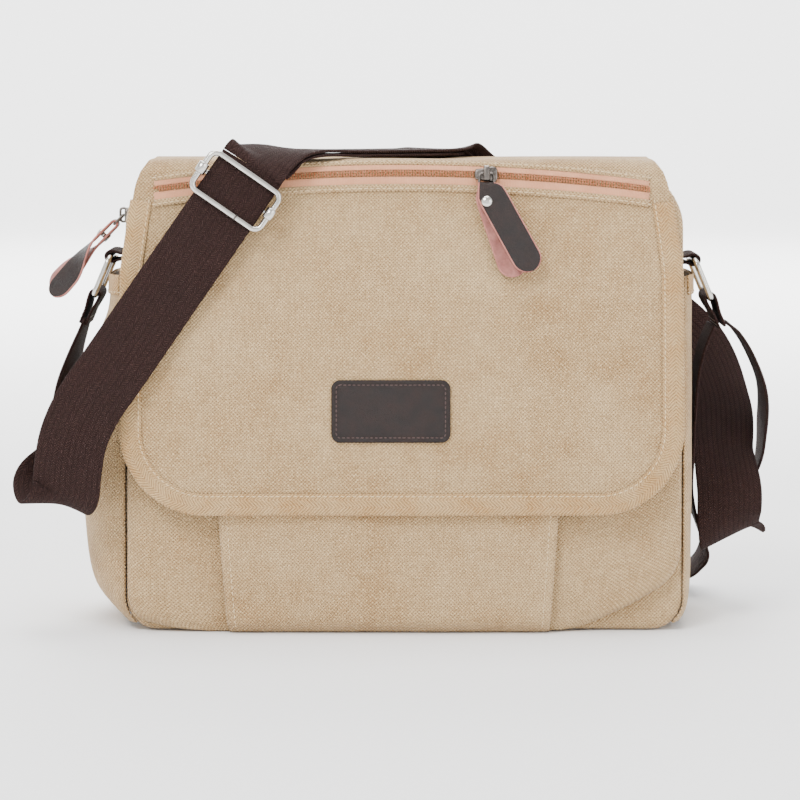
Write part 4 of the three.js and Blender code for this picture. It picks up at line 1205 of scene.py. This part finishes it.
class BAG_OT_body(bpy.types.Operator):
    """Loft the canvas body: front, back, gussets, base and the bands beside the main zip, as one shell"""
    bl_idname = "bag.body"
    bl_label = "Canvas body"

    def execute(self, context):
        base = BASE_CORNER * (1 - np.cos(np.linspace(0, math.pi / 2, 7)))
        crown = TOP_CORNER * np.sin(np.linspace(0, math.pi / 2, 14))
        straight = np.linspace(BASE_CORNER, HEIGHT - TOP_CORNER - 0.3, 46)[1:-1]
        heights = 0.3 + np.concatenate([base, straight, HEIGHT - TOP_CORNER - 0.3 + crown])
        low = np.clip(BASE_CORNER + 0.3 - heights, 0, BASE_CORNER)
        high = np.clip(heights - (HEIGHT - TOP_CORNER), 0, TOP_CORNER)
        halves = HALF_WIDTH - (BASE_CORNER - np.sqrt(BASE_CORNER ** 2 - low ** 2))
        halves = halves - (TOP_CORNER - np.sqrt(np.maximum(TOP_CORNER ** 2 - high ** 2, 0)))
        shares = dense_ends(71)
        x = halves[:, None] * shares[None, :]
        z = np.repeat(heights[:, None], len(shares), axis=1)
        distance = body_distance(x, z)
        near = np.clip(EDGE_ROUND - distance, 0, EDGE_ROUND)
        rolled = EDGE_ROUND - np.sqrt(EDGE_ROUND ** 2 - near ** 2)
        seam = 0.8 * np.exp(-((distance - 7) / 1.6) ** 2)
        middle = smooth_step(distance, 6, 60)
        pucker = 0.35 * np.sin((x + z) / 3.1) * np.exp(-((distance - 9) / 5) ** 2)
        faces_made = []
        for side, swell, seed in ((-1, 1.0, 21), (1, 4.5, 22)):
            sag = np.sin(math.pi * np.clip(z / 235, 0, 1) ** 0.75)
            out = swell * middle * sag + (0.6 if side < 0 else 1.5) * ripple(x, z, 95, seed) * middle
            y = side * (half_depth(z) - rolled - seam + out + pucker)
            faces_made.append(np.stack([x, y, z], axis=-1))
        front, back = faces_made
        back = back[:, ::-1]
        cloth = np.stack([x, z], axis=-1)
        count = front.shape[0] * front.shape[1]
        faces = grid_faces(*front.shape[:2]) + grid_faces(*back.shape[:2], start=count)
        points = [front.reshape(-1, 3), back.reshape(-1, 3)]
        uv = [cloth.reshape(-1, 2), cloth[:, ::-1].reshape(-1, 2)]

        front_loop = self.border(front)
        back_loop = self.border(back[:, ::-1])
        outline = front_loop[:, [0, 2]]
        step = np.roll(outline, -1, axis=0) - np.roll(outline, 1, axis=0)
        outward = unit(np.stack([step[:, 1], -step[:, 0]], axis=1))
        length = run_length(outline)
        near_zip = [-13, -11, -9.6, -9.0, -8.5, -6, 0, 6, 8.5, 9.0, 9.6, 11, 13]
        edge = half_depth(outline[:, 1]) - EDGE_ROUND
        columns = []
        for share in np.linspace(0, 1, 8)[:-1]:
            columns.append(-edge + (edge - 13) * share)
        columns += [np.full(len(outline), float(y)) for y in near_zip]
        for share in np.linspace(0, 1, 8)[1:]:
            columns.append(13 + (edge - 13) * share)
        ring = []
        for i, across in enumerate(columns):
            bow = 1 - (across / edge) ** 2
            high_up = smooth_step(outline[:, 1], ZIP_END - 1.5, ZIP_END + 0.5)
            channel = smooth_step(9.1 - np.abs(across), 0, 0.5) * high_up
            lip = np.exp(-((np.abs(across) - 9.9) / 0.9) ** 2) * high_up
            swell = bow * (0.9 + 0.7 * ripple(length, across, 42, 9)) * smooth_step(outline[:, 1], 180, 225)
            out = swell * (1 - channel) - 2.1 * channel + 0.5 * lip
            out = out * smooth_step(min(i, len(columns) - 1 - i), 0, 1)
            ring.append(np.stack([
                outline[:, 0] + outward[:, 0] * out, across, outline[:, 1] + outward[:, 1] * out,
            ], axis=-1))
        ring[0], ring[-1] = front_loop, back_loop
        band = np.array(ring)
        start = 2 * count
        band_faces = grid_faces(band.shape[0], band.shape[1], closed=True, start=start)
        faces += [tuple(reversed(face)) for face in band_faces]
        points.append(band.reshape(-1, 3))
        across = np.array(columns)
        uv.append(np.stack([across, np.broadcast_to(length, across.shape)], axis=-1).reshape(-1, 2))
        made = build_mesh(
            "canvas_body", np.concatenate(points), faces, ["washed_cotton_canvas"], np.concatenate(uv),
        )
        weld(made)
        finish_piece(
            made, "bag", "canvas", "front_panel", "back_panel", "base_panel", "gusset_left",
            "gusset_right", "top_band_front", "top_band_back",
        )
        dress_node("base_board", "grey_board")
        dress_node("body_lining", "plain_cotton_lining")
        return {"FINISHED"}

    @staticmethod
    def border(grid):
        """The grid's border as one loop, from its foot up its right side and down its left."""
        return np.concatenate([grid[0, :-1], grid[:-1, -1], grid[-1, :0:-1], grid[:0:-1, 0]])


class BAG_OT_front_pocket(bpy.types.Operator):
    """Make the front pocket with its two folded pleats, and the tape on its mouth"""
    bl_idname = "bag.front_pocket"
    bl_label = "Front pocket"

    def execute(self, context):
        columns = np.arange(len(POCKET_FACE))
        heights = np.concatenate([[-0.4, 0, 0.8, 2, 4], np.linspace(7, POCKET_TOP, 60)])
        grid = pocket_point(columns[None, :], heights[:, None])
        grid[0, :, 1] = -half_depth(0) + 6
        grid[0, :, 2] = np.maximum(grid[0, :, 2] - 0.1, 0.3)
        run = run_length(POCKET_FACE)
        uv = np.stack(np.broadcast_arrays(run[None, :], heights[:, None]), axis=-1)
        made = cloth_sheet("front_pocket_cloth", grid, uv, 1.6, "washed_cotton_canvas", "plain_cotton_lining")
        finish_piece(made, "bag", "canvas", "front_pocket")

        low, high = POCKET_TOP - TAPE_WIDTH, POCKET_TOP + 0.4
        middle = pocket_point(columns, (low + high) / 2, 0.75)[3:-3]
        up = unit(pocket_point(columns, high, 0.7) - pocket_point(columns, low, 0.7))[3:-3]
        tape = strip(
            "front_pocket_tape", middle, up, TAPE_WIDTH / 2, 0.9, ["herringbone_cotton_tape"],
        )
        finish_piece(tape, "bag", "tape", "front_pocket_binding")

        outward = (0, -1, 0)
        pleats = []
        for x0 in (-100.8, 82.6):
            column = int(np.argmin(np.hypot(POCKET_FACE[:, 0] - x0, POCKET_FACE[:, 1] - 12.5)))
            pleats.append((pocket_point(column, np.linspace(4, POCKET_TOP - 14, 60), 0.1), outward))
        mouth = [(pocket_point(columns[16:-16], z, 1.25), outward) for z in (low + 1.6,)]
        stitches("pocket_stitches", pleats + mouth, "bag")
        return {"FINISHED"}


class BAG_OT_side_pockets(bpy.types.Operator):
    """Make the full left pocket, the flat right one, and the tapes on their mouths"""
    bl_idname = "bag.side_pockets"
    bl_label = "Side pockets"

    def execute(self, context):
        rows = []
        heights = np.concatenate([[4.5, 5.5, 7], np.linspace(10, SIDE_POCKET_TOP, 56)])
        for side, word in ((-1, "left"), (1, "right")):
            turns = side * dense_ends(41)
            grid = side_pocket_point(side, turns[None, :], heights[:, None])
            typical = side_pocket_point(side, turns, 110)
            run = run_length(typical)
            uv = np.stack(np.broadcast_arrays(run[None, :], heights[:, None]), axis=-1)
            made = cloth_sheet(f"side_pocket_{word}_cloth", grid, uv, 1.5, "washed_cotton_canvas",
                               "plain_cotton_lining")
            finish_piece(made, "bag", "canvas", f"side_pocket_{word}")
            top = SIDE_POCKET_TOP + 0.4
            reach = side * np.sin(np.linspace(-1.35, 1.35, 33))
            middle = side_pocket_point(side, reach, top - 5.4, 0.7)
            above = side_pocket_point(side, reach, top, 0.7)
            up = unit(above - side_pocket_point(side, reach, top - 10, 0.7))
            tape = strip(f"side_pocket_{word}_tape", middle, up, 5.6, 0.9, ["herringbone_cotton_tape"])
            finish_piece(tape, "bag", "tape", f"side_pocket_binding_{word}")
            rows.append((side_pocket_point(side, reach, top - 9.6, 1.2), (side, 0, 0)))
        stitches("side_pocket_stitches", rows, "bag")
        return {"FINISHED"}


class BAG_OT_flap(bpy.types.Operator):
    """Make the flap's canvas and lining from the bound hem over the top to the seam behind"""
    bl_idname = "bag.flap"
    bl_label = "Flap"

    def execute(self, context):
        foot = FLAP_CORNER * (1 - np.cos(np.linspace(0.12, math.pi / 2, 15)))
        alongs = np.concatenate([foot, np.arange(FLAP_CORNER + 4, FLAP_LENGTH - 1, 3.4), [FLAP_LENGTH - 0.5]])
        shares = dense_ends(75)
        for name, node, inset, out, thickness, material, slot, last in (
            ("flap_canvas", "flap_panel", 1.5, 0, CANVAS, "washed_cotton_canvas", "canvas", 0),
            ("flap_lining_cloth", "flap_lining", 1.8, -CANVAS - 0.25, LINING, "plain_cotton_lining",
             "lining", 3),
        ):
            rows = alongs[:len(alongs) - last]
            halves = flap_half(np.maximum(rows - inset, 0.0))
            halves = np.minimum(halves, flap_half(rows)) - inset
            x = FLAP_X + halves[:, None] * shares[None, :]
            along = np.repeat(rows[:, None], len(shares), axis=1)
            grid = flap_point(x, np.maximum(along, inset), out)
            uv = np.stack([x, along], axis=-1)
            made = cloth_sheet(name, grid, uv, thickness, material)
            finish_piece(made, None, slot, node)
            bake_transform(made)
        seam = FLAP_LENGTH - 5
        reach = float(flap_half(seam)) - 4
        row = flap_point(np.linspace(FLAP_X - reach, FLAP_X + reach, 60), seam, 0.15)
        second = flap_point(np.linspace(FLAP_X - reach, FLAP_X + reach, 60), seam + 3, 0.15)
        stitches("back_seam_stitches", [(row, (0, 1, 0)), (second, (0, 1, 0))], "bag")
        return {"FINISHED"}


class BAG_OT_flap_tape(bpy.types.Operator):
    """Fold the herringbone tape round the flap's edge and sew it"""
    bl_idname = "bag.flap_tape"
    bl_label = "Flap binding"

    def execute(self, context):
        section = [
            (12.5, 0.2), (12.5, 1.0), (12.2, 1.2), (10.5, 1.3), (8, 1.4), (5, 1.45), (2.5, 1.35), (0.9, 1.0),
            (0.15, 0.1), (0.0, -1.2), (0.05, -2.6), (0.5, -3.8), (1.6, -4.2), (5, -4.3), (9, -4.3),
            (12.2, -4.2), (12.5, -4.0), (12.5, -3.3), (8, -3.35), (1.6, -3.3), (1.0, -2.4), (0.95, -0.8),
            (1.4, 0.15), (6, 0.2),
        ]
        turns = [0]
        for a, b in zip(section, section[1:]):
            turns.append(turns[-1] + math.dist(a, b))
        outline = flap_outline()
        length = run_length(outline)
        fine = np.arange(0, length[-1], 2.2)
        rings = np.zeros((len(fine), len(section), 3))
        uv = np.zeros((len(fine), len(section), 2))
        gather = 0.14 * np.sin(fine * 2 * math.pi / 6.6) + 0.1 * np.sin(fine * 2 * math.pi / 17)
        for i, (inset, out) in enumerate(section):
            edge = flap_outline(inset)
            x = np.interp(fine, length, edge[:, 0])
            along = np.interp(fine, length, edge[:, 1])
            puff = gather * (1 if out > 0.5 else 0) * math.sin(math.pi * min(inset / 11, 1))
            rings[:, i] = flap_point(x, along, out + puff)
            uv[:, i, 0] = turns[i]
            uv[:, i, 1] = fine
        tape = swept_loop("flap_tape", rings, ["herringbone_cotton_tape"], uv)
        finish_piece(tape, "flap", "tape", "flap_binding")
        inner = flap_outline(11.0)
        row = flap_point(inner[:, 0], inner[:, 1], 1.35)
        stitches("flap_tape_stitches", [(row, (0, -1, 0.05))], "flap")
        return {"FINISHED"}


class BAG_OT_patch(bpy.types.Operator):
    """Cut the plain leather patch and sew it to the flap"""
    bl_idname = "bag.patch"
    bl_label = "Leather patch"

    def execute(self, context):
        cx, cz = PATCH_CENTRE
        cs = float(flap_at(cz))
        half_x, half_z = PATCH_SIZE[0] / 2, PATCH_SIZE[1] / 2
        outline = rounded_rectangle(cx - half_x, cx + half_x, cs - half_z, cs + half_z, PATCH_CORNER)
        layers = [(0.35, 0.2), (0, 0.5), (0, 1.3), (0.25, 1.7), (0.8, 1.9), (1.9, 1.95), (2.5, 1.72),
                  (3.1, 1.72), (3.7, 1.95), (4.6, 2.05)]
        patch = slab("leather_patch", outline, flap_point, layers, "oiled_cow_leather")
        finish_piece(patch, "flap", "leather", "flap_patch")
        inset = 2.8
        ring = rounded_rectangle(
            cx - half_x + inset, cx + half_x - inset, cs - half_z + inset, cs + half_z - inset,
            PATCH_CORNER - inset,
        )
        ring = np.array(ring + ring[:1])
        row = flap_point(ring[:, 0], ring[:, 1], 1.85)
        stitches("patch_stitches", [(row, (0, -1, 0.1))], "flap", "dark_spun_thread", "leather_stitch")
        return {"FINISHED"}


def zip_top_path(inset, y):
    """A line over the top of the bag from the left end of the main zip to its right end."""
    side = HALF_WIDTH - inset
    corner_z = HEIGHT - TOP_CORNER
    radius = TOP_CORNER - inset
    inner = HALF_WIDTH - TOP_CORNER
    points = [(-side, y, z) for z in np.linspace(ZIP_END + 0.5, corner_z - 1, 7)]
    points += [
        (-inner - radius * math.cos(a), y, corner_z + radius * math.sin(a))
        for a in np.linspace(0, math.pi / 2, 16)
    ]
    points += [(x, y, corner_z + radius) for x in np.linspace(-inner, inner, 60)[1:-1]]
    points += [(-p[0], p[1], p[2]) for p in reversed(points[:23])]
    return np.array(points)


def path_outward(points):
    """The outward directions of a line round the top of the bag."""
    tangent = unit(np.gradient(points, axis=0))
    return np.stack([-tangent[:, 2], np.zeros(len(points)), tangent[:, 0]], axis=1)


class BAG_OT_zips(bpy.types.Operator):
    """Lay the tapes and wind the coils of the flap zip and the main zip"""
    bl_idname = "bag.zips"
    bl_label = "Zips"

    def execute(self, context):
        x = np.linspace(FLAP_X - 139, FLAP_X + 139, 90)
        arch = ZIP_CENTRE_Z - (x - FLAP_X) ** 2 / (2 * ZIP_ARC)
        along = flap_at(arch)

        def flap_line(rise, out):
            return flap_point(x, along + rise, out)

        for name, node, rise, half in (
            ("flap_zip_tape_top", "flap_zip_tape_upper", 3.3, 1.6),
            ("flap_zip_tape_low", "flap_zip_tape_lower", -4.0, 2.3),
        ):
            up = unit(flap_line(rise + 1, 0) - flap_line(rise - 1, 0))
            tape = strip(name, flap_line(rise, 0.6), up, half, 0.7, ["woven_zip_tape"], columns=5)
            finish_piece(tape, "flap", "zip_tape", node)
        lips = []
        for word, rise, half, out in (("top", 6.4, 1.7, 0.9), ("low", -8.0, 2.1, 0.8)):
            up = unit(flap_line(rise + 1, 0) - flap_line(rise - 1, 0))
            line = flap_line(rise, out)
            lips.append(strip(f"lip_{word}", line, up, half, 1.3, ["washed_cotton_canvas"], columns=5))
        folded = join("flap_zip_lips", lips)
        finish_piece(folded, "flap", "canvas")
        rows = [(flap_line(-8.6, 1.5), (0, -1, 0.25)), (flap_line(6.6, 1.6), (0, -1, 0.25))]
        stitches("flap_zip_stitches", rows, "flap")

        flap_out = (0, -math.cos(FLAP_LEAN), math.sin(FLAP_LEAN))
        pitch = size("zip_pitch")
        turns = [(flap_line(0.75, 1.35), flap_out), (flap_line(-0.75, 1.35)[1:], flap_out)]
        coil = beads("flap_coil", turns, "nylon_zip_coil", pitch, 1.0, 1.9, 1.5, 5)
        finish_piece(coil, "flap", "zip_coil", "flap_zip_coil")

        for side, word in ((-1, "front"), (1, "back")):
            centre = zip_top_path(1.0, side * 5.3)
            tape = strip(f"main_zip_{word}_tape", centre, (0, 1, 0), 3.3, 0.8, ["woven_zip_tape"], columns=6)
            finish_piece(tape, "bag", "zip_tape", f"main_zip_tape_{word}")
        turns = []
        for offset in (-0.8, 0.8):
            line = zip_top_path(0.4, offset)[0 if offset < 0 else 1:]
            turns.append((line, path_outward(line)))
        coil = beads("main_coil", turns, "nylon_zip_coil", pitch, 1.0, 2.0, 1.5, 6)
        finish_piece(coil, "bag", "zip_coil", "main_zip_coil")
        sewn = []
        for y in (-11.4, 11.4):
            line = zip_top_path(-0.9, y)
            sewn.append((line, path_outward(line)))
        stitches("main_zip_stitches", sewn, "bag")
        return {"FINISHED"}


PULL_DROP = 7.4
FLAP_SLIDER = placed(
    (46, -58 + (ZIP_CENTRE_Z - 190) * math.tan(FLAP_LEAN) - 1.026 * math.tan(FLAP_LEAN), 256.974),
    (-FLAP_LEAN, "X"),
)
MAIN_SLIDER = placed((-157.1, 0, 233), (-math.pi / 2, "Z"))
SLIDER_TOP = 2.5
LINK_OUT = SLIDER_TOP + 2.25


def slider(name, matrix, body, node):
    """A zip slider: a shield-shaped plate over the coil and a bridge that holds the pull."""
    to_bag = through(matrix)
    outline = [(-6, -2.9), (-2, -3.4), (3, -4.5), (5.4, -4.0), (6.2, -2.4), (6.2, 2.4), (5.4, 4.0), (3, 4.5),
               (-2, 3.4), (-6, 2.9), (-6.6, 1.2), (-6.6, -1.2)]
    layers = [(0.5, SLIDER_TOP - 1.5), (0, SLIDER_TOP - 1.1), (0, SLIDER_TOP + 0.7), (0.4, SLIDER_TOP + 1.15),
              (1.2, SLIDER_TOP + 1.3)]
    plate = slab(name + "_plate", outline, lambda x, z, h: to_bag((x, -h, z)), layers, "dark_nickel_plate")
    top = SLIDER_TOP + 4.1
    bridge = catmull([
        (0, -SLIDER_TOP - 0.4, -3.6), (0, -SLIDER_TOP - 2.6, -3.9), (0, -top + 0.3, -3.3), (0, -top, -1.5),
        (0, -top, 1.5), (0, -top + 0.3, 3.3), (0, -SLIDER_TOP - 2.6, 3.9), (0, -SLIDER_TOP - 0.4, 3.6),
    ], 4)
    arch = strip(name + "_bridge", to_bag(bridge), to_bag((1, 0, 0)) - to_bag((0, 0, 0)), 1.7, 1.3,
                 ["dark_nickel_plate"], columns=4)
    made = join(name + "_metal", [plate, arch])
    return finish_piece(made, body, "dark_metal", node)


def wire_loop(x0, x1, z0, z1, corner):
    """A closed centre line of bent wire in X and Z."""
    return np.array([(x, 0, z) for x, z in rounded_rectangle(x0, x1, z0, z1, corner)])


def leather_leg(lean, side, twist, length, curl):
    """Rows of one leg of a pull from its fold: centres, across directions and half widths."""
    half_width = 8.35
    straight = np.linspace(0.4, length - half_width, 24)
    round_end = length - half_width + (half_width - 0.05) * np.sin(np.linspace(0, math.pi / 2, 10))
    down = np.concatenate([straight, round_end[1:]])
    gap = side * (1.85 + curl * (down / length) ** 2)
    turn = twist * smooth_step(down, 13, 41)
    centres = np.stack([
        down * math.sin(lean) * np.cos(turn) - gap * np.sin(turn),
        down * math.sin(lean) * np.sin(turn) + gap * np.cos(turn),
        -PULL_DROP - down * math.cos(lean),
    ], axis=1)
    across = np.stack([
        math.cos(lean) * np.cos(turn), math.cos(lean) * np.sin(turn), np.full(len(down), math.sin(lean)),
    ], axis=1)
    past_end = np.clip(down - length + half_width, 0, half_width - 0.01)
    shoulder = np.interp(down, [0, 4, 9], [5.2, 7.9, half_width])
    half = np.minimum(shoulder, np.sqrt(half_width ** 2 - past_end ** 2))
    return centres, across, half


def leather_pull(name, matrix, body, nodes, front_lean, rear_lean, twist):
    """A strip of leather folded through a wire link, its legs held by a rivet."""
    to_bag = through(matrix)
    turn_only = through(matrix.to_3x3().to_4x4())
    front, front_across, front_half = leather_leg(front_lean, -1, twist, 55, 1.4)
    rear, rear_across, rear_half = leather_leg(rear_lean, 1, twist, 53.5, 0.6)
    bow = np.linspace(0, math.pi, 9)[1:-1]
    fold = np.stack([np.zeros(7), 1.85 * np.cos(bow), -PULL_DROP + 1.85 * np.sin(bow)], axis=1)
    fold_across = np.tile([1.0, 0, 0], (7, 1))
    centres = np.concatenate([rear[::-1], fold, front])
    across = np.concatenate([rear_across[::-1], fold_across, front_across])
    half = np.concatenate([rear_half[::-1], np.full(7, 4.8), front_half])
    leather = strip(
        name + "_leather", to_bag(centres), turn_only(across), half, 1.4,
        ["oiled_cow_leather", "leather_flesh_side", "cut_leather_edge"], columns=9,
    )
    finish_piece(leather, body, "leather", nodes[0])
    wire = to_bag(wire_loop(-4.2, 4.2, -PULL_DROP, 0, 1.8))
    link = tube(name + "_link", wire, 0.8, "dark_nickel_plate", closed=True)
    finish_piece(link, body, "dark_metal", nodes[1])
    profile = [(0, -3.6), (2.3, -3.5), (2.8, -3.0), (2.7, -2.65), (1.5, -2.6), (1.5, 2.6), (3.2, 2.62),
               (3.2, 2.85), (2.7, 3.3), (1.9, 3.7), (0.9, 3.9), (0, 3.95)]
    rivet = turned(
        name + "_rivet_dome", profile,
        lambda a, b, h: to_bag((a, -h, b - PULL_DROP - 9)), "polished_nickel_plate",
    )
    finish_piece(rivet, body, "dark_metal", nodes[2])


class BAG_OT_pulls(bpy.types.Operator):
    """Make both zip sliders and their riveted leather pulls"""
    bl_idname = "bag.pulls"
    bl_label = "Sliders and pulls"

    def execute(self, context):
        slider("flap_slider", FLAP_SLIDER, "flap_slider", "flap_slider")
        slider("main_slider", MAIN_SLIDER, "main_slider", "main_slider")
        out = Matrix.Translation((0, -LINK_OUT, 0))
        for word, matrix, lean, front, rear, twist in (
            ("flap", FLAP_SLIDER, 0, 28, 18, 0),
            ("main", MAIN_SLIDER, -45, 8, -2, math.radians(48)),
        ):
            leather_pull(
                f"{word}_pull", matrix @ out @ Matrix.Rotation(math.radians(lean), 4, "X"), f"{word}_pull",
                [f"{word}_pull_leather", f"{word}_pull_link", f"{word}_pull_rivet"],
                math.radians(front), math.radians(rear), twist,
            )
        return {"FINISHED"}


def web_fold(name, matrix, radius, half, tails):
    """Webbing folded over a bar that lies along local X, its tails hanging down local Z."""
    to_bag = through(matrix)
    bend = radius + WEB_THICK / 2 - 0.1
    angles = np.linspace(math.pi, 0, 13)
    levels = np.linspace(-tails, -1, 9)
    closed = bend - (bend - WEB_THICK) * smooth_step(-levels, 1, 0.6 * tails)
    path = [(0, -y, z) for y, z in zip(closed, levels)]
    path += [(0, bend * math.cos(a), bend * math.sin(a)) for a in angles]
    path += [(0, y, z) for y, z in zip(closed[::-1], levels[::-1])]
    across = to_bag((-1, 0, 0)) - to_bag((0, 0, 0))
    return strip(name, to_bag(path), across, half, WEB_THICK - 0.2, ["cotton_webbing"], columns=10)


class BAG_OT_rings(bpy.types.Operator):
    """Bend the two strap rings and fold their tabs and the strap ends round them"""
    bl_idname = "bag.rings"
    bl_label = "Rings and tabs"

    def execute(self, context):
        for word, (side, x, z) in RING_HINGES.items():
            tab = placed((x, 0, z), (side * math.pi / 2, "Y"), (math.pi / 2, "Z"))
            made = web_fold(f"ring_tab_{word}_web", tab, WIRE / 2 + 0.5, 17, abs(x) - HALF_WIDTH + 0.5)
            finish_piece(made, "bag", "webbing", f"ring_tab_{word}")
            hung = placed((x, 0, z), (-side * RING_LEAN, "Y"), (math.pi / 2, "Z"))
            wire = wire_loop(-RING_HALF, RING_HALF, -RING_DROP, 0, 5)
            ring = tube(f"ring_{word}_wire", through(hung)(wire), WIRE / 2, "polished_nickel_plate", 16, True)
            finish_piece(ring, f"ring_{word}", "steel", f"ring_{word}")
            hold = hung @ Matrix.Translation((0, 0, -RING_DROP))
            fold = web_fold(f"strap_fold_{word}_web", hold, WIRE / 2 + 0.4, 18, 18)
            finish_piece(fold, f"ring_{word}", "webbing", f"strap_fold_{word}")
            local = through(hold)
            rows = []
            for level in (-13, -15.5):
                for way in (-1, 1):
                    line = local([(s, way * 2.55, level) for s in np.linspace(-15, 15, 24)])
                    rows.append((line, local((0, way, 0)) - local((0, 0, 0))))
            stitches(f"strap_fold_{word}_stitches", rows, f"ring_{word}", "dark_spun_thread")
        return {"FINISHED"}


class BAG_OT_adjuster(bpy.types.Operator):
    """Bend the adjuster's frame and crimp its centre bar onto it"""
    bl_idname = "bag.adjuster"
    bl_label = "Strap adjuster"

    def execute(self, context):
        basis = Matrix([
            [*STRAP_ACROSS[[0]], *STRAP_INWARD[[0]], *(-STRAP_DOWN[[0]])],
            [*STRAP_ACROSS[[1]], *STRAP_INWARD[[1]], *(-STRAP_DOWN[[1]])],
            [*STRAP_ACROSS[[2]], *STRAP_INWARD[[2]], *(-STRAP_DOWN[[2]])],
        ]).to_4x4()
        matrix = Matrix.Translation(Vector(ADJUSTER_CENTRE)) @ basis
        to_bag = through(matrix)
        out = 2.95
        half_x, half_z = 24.5 - WIRE / 2, 14 - WIRE / 2
        line = wire_loop(-half_x, half_x, -half_z, half_z, 4.6) - np.array([0, out, 0])
        wire = tube("adjuster_wire", to_bag(line), WIRE / 2, "polished_nickel_plate", 16, True)
        seam = tube(
            "wire_joint", to_bag([(x, -out, -half_z) for x in (7.5, 7.75, 8.25, 8.5)]), WIRE / 2 + 0.12,
            "dark_nickel_plate", 16,
        )
        finish_piece(join("adjuster_frame_wire", [wire, seam]), "adjuster", "steel", "adjuster_frame")

        bar_in = 4.05
        bar = [(x, bar_in, 0) for x in np.linspace(-half_x - 0.3, half_x + 0.3, 14)]
        pieces = [tube("bar", to_bag(bar), 1.2, "polished_nickel_plate", 14)]
        for x in (-half_x, half_x):
            section = [(0.25, -3.2), (0.9, -3.2), (1.3, -2.8), (1.4, 0), (1.3, 2.8), (0.9, 3.2), (0.25, 3.2),
                       (0.25, -3.2)]
            profile = [(WIRE / 2 + rise, height) for rise, height in section]
            angles = np.linspace(0, 2 * math.pi, 24, endpoint=False)
            rings = np.array([
                [to_bag((x + r * math.cos(a), -out + r * math.sin(a), h)) for a in angles]
                for r, h in profile
            ])
            sleeve = build_mesh(
                "sleeve", rings.reshape(-1, 3), grid_faces(len(profile), 24, closed=True),
                ["polished_nickel_plate"],
            )
            pieces.append(weld(sleeve, 0.005))
            arm = strip(
                "arm", to_bag([(x, y, 0) for y in (-0.4, 1, 2.4, bar_in + 0.6)]),
                to_bag((0, 0, 1)) - to_bag((0, 0, 0)), 1.5, 1.8, ["polished_nickel_plate"], columns=3,
            )
            pieces.append(arm)
        finish_piece(join("adjuster_bar_metal", pieces), "adjuster_bar", "steel", "adjuster_bar")

        turned_over = matrix @ Matrix.Translation((0, bar_in, 0)) @ Matrix.Rotation(math.pi, 4, "X")
        fold = web_fold("strap_fold_adjuster_web", turned_over, 1.5, 17.5, 9)
        record = frame["record"]["behaviour"]["bodies"]
        holder = next(body for body, nodes in record.items() if "strap_fold_adjuster" in nodes)
        finish_piece(fold, holder, "webbing", "strap_fold_adjuster")
        return {"FINISHED"}


class BAG_OT_snaps(bpy.types.Operator):
    """Press the two pairs of magnetic snaps that hold the flap shut"""
    bl_idname = "bag.snaps"
    bl_label = "Magnetic snaps"

    def execute(self, context):
        for word in ("left", "right"):
            for kind, body, way in (("socket", "bag", -1), ("stud", "flap", 1)):
                low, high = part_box(f"snap_{kind}_{word}")
                centre = (low + high) / 2 / MM
                depth = (high - low)[1] / MM / 2
                profile = [(0, -depth), (7.4, -depth), (7.9, -depth + 0.4), (7.9, depth - 0.6),
                           (7.2, depth - 0.1), (5.6, depth), (5.0, depth - 0.5), (3.2, depth - 0.6),
                           (2.6, depth - 0.2), (0, depth)]
                snap = turned(
                    f"snap_{kind}_{word}_metal", profile,
                    lambda a, b, h, c=centre, w=way: (c[0] + a * w, c[1] + h * w, c[2] + b),
                    "dark_nickel_plate", 36,
                )
                work = bmesh.new()
                work.from_mesh(snap.data)
                bmesh.ops.recalc_face_normals(work, faces=work.faces)
                work.to_mesh(snap.data)
                work.free()
                finish_piece(snap, body, "dark_metal", f"snap_{kind}_{word}")
        return {"FINISHED"}


class BAG_PT_panel(bpy.types.Panel):
    """The bag's pieces in the order that they are made"""
    bl_idname = "BAG_PT_panel"
    bl_label = "Messenger bag"
    bl_space_type = "VIEW_3D"
    bl_region_type = "UI"
    bl_category = "Bag"

    def draw(self, context):
        for settings in (context.scene.bag_sizes, context.scene.bag_colours):
            column = self.layout.column()
            for name in settings.__annotations__:
                column.prop(settings, name)
        for operator in PIECES:
            self.layout.operator(operator.bl_idname)


PIECES = (
    BAG_OT_materials, BAG_OT_stage, BAG_OT_strap, BAG_OT_body, BAG_OT_front_pocket, BAG_OT_side_pockets,
    BAG_OT_flap, BAG_OT_flap_tape, BAG_OT_patch, BAG_OT_zips, BAG_OT_pulls, BAG_OT_rings, BAG_OT_adjuster,
    BAG_OT_snaps,
)
CLASSES = (BagColours, BagSizes, *PIECES, BAG_PT_panel)


def register():
    for cls in CLASSES:
        bpy.utils.register_class(cls)
    bpy.types.Scene.bag_colours = PointerProperty(type=BagColours)
    bpy.types.Scene.bag_sizes = PointerProperty(type=BagSizes)


def unregister():
    del bpy.types.Scene.bag_sizes
    del bpy.types.Scene.bag_colours
    for cls in reversed(CLASSES):
        bpy.utils.unregister_class(cls)


def main():
    """Registers the add-on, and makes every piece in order."""
    register()
    for operator in PIECES:
        group, name = operator.bl_idname.split(".")
        getattr(getattr(bpy.ops, group), name)()


if __name__ == "__main__":
    main()
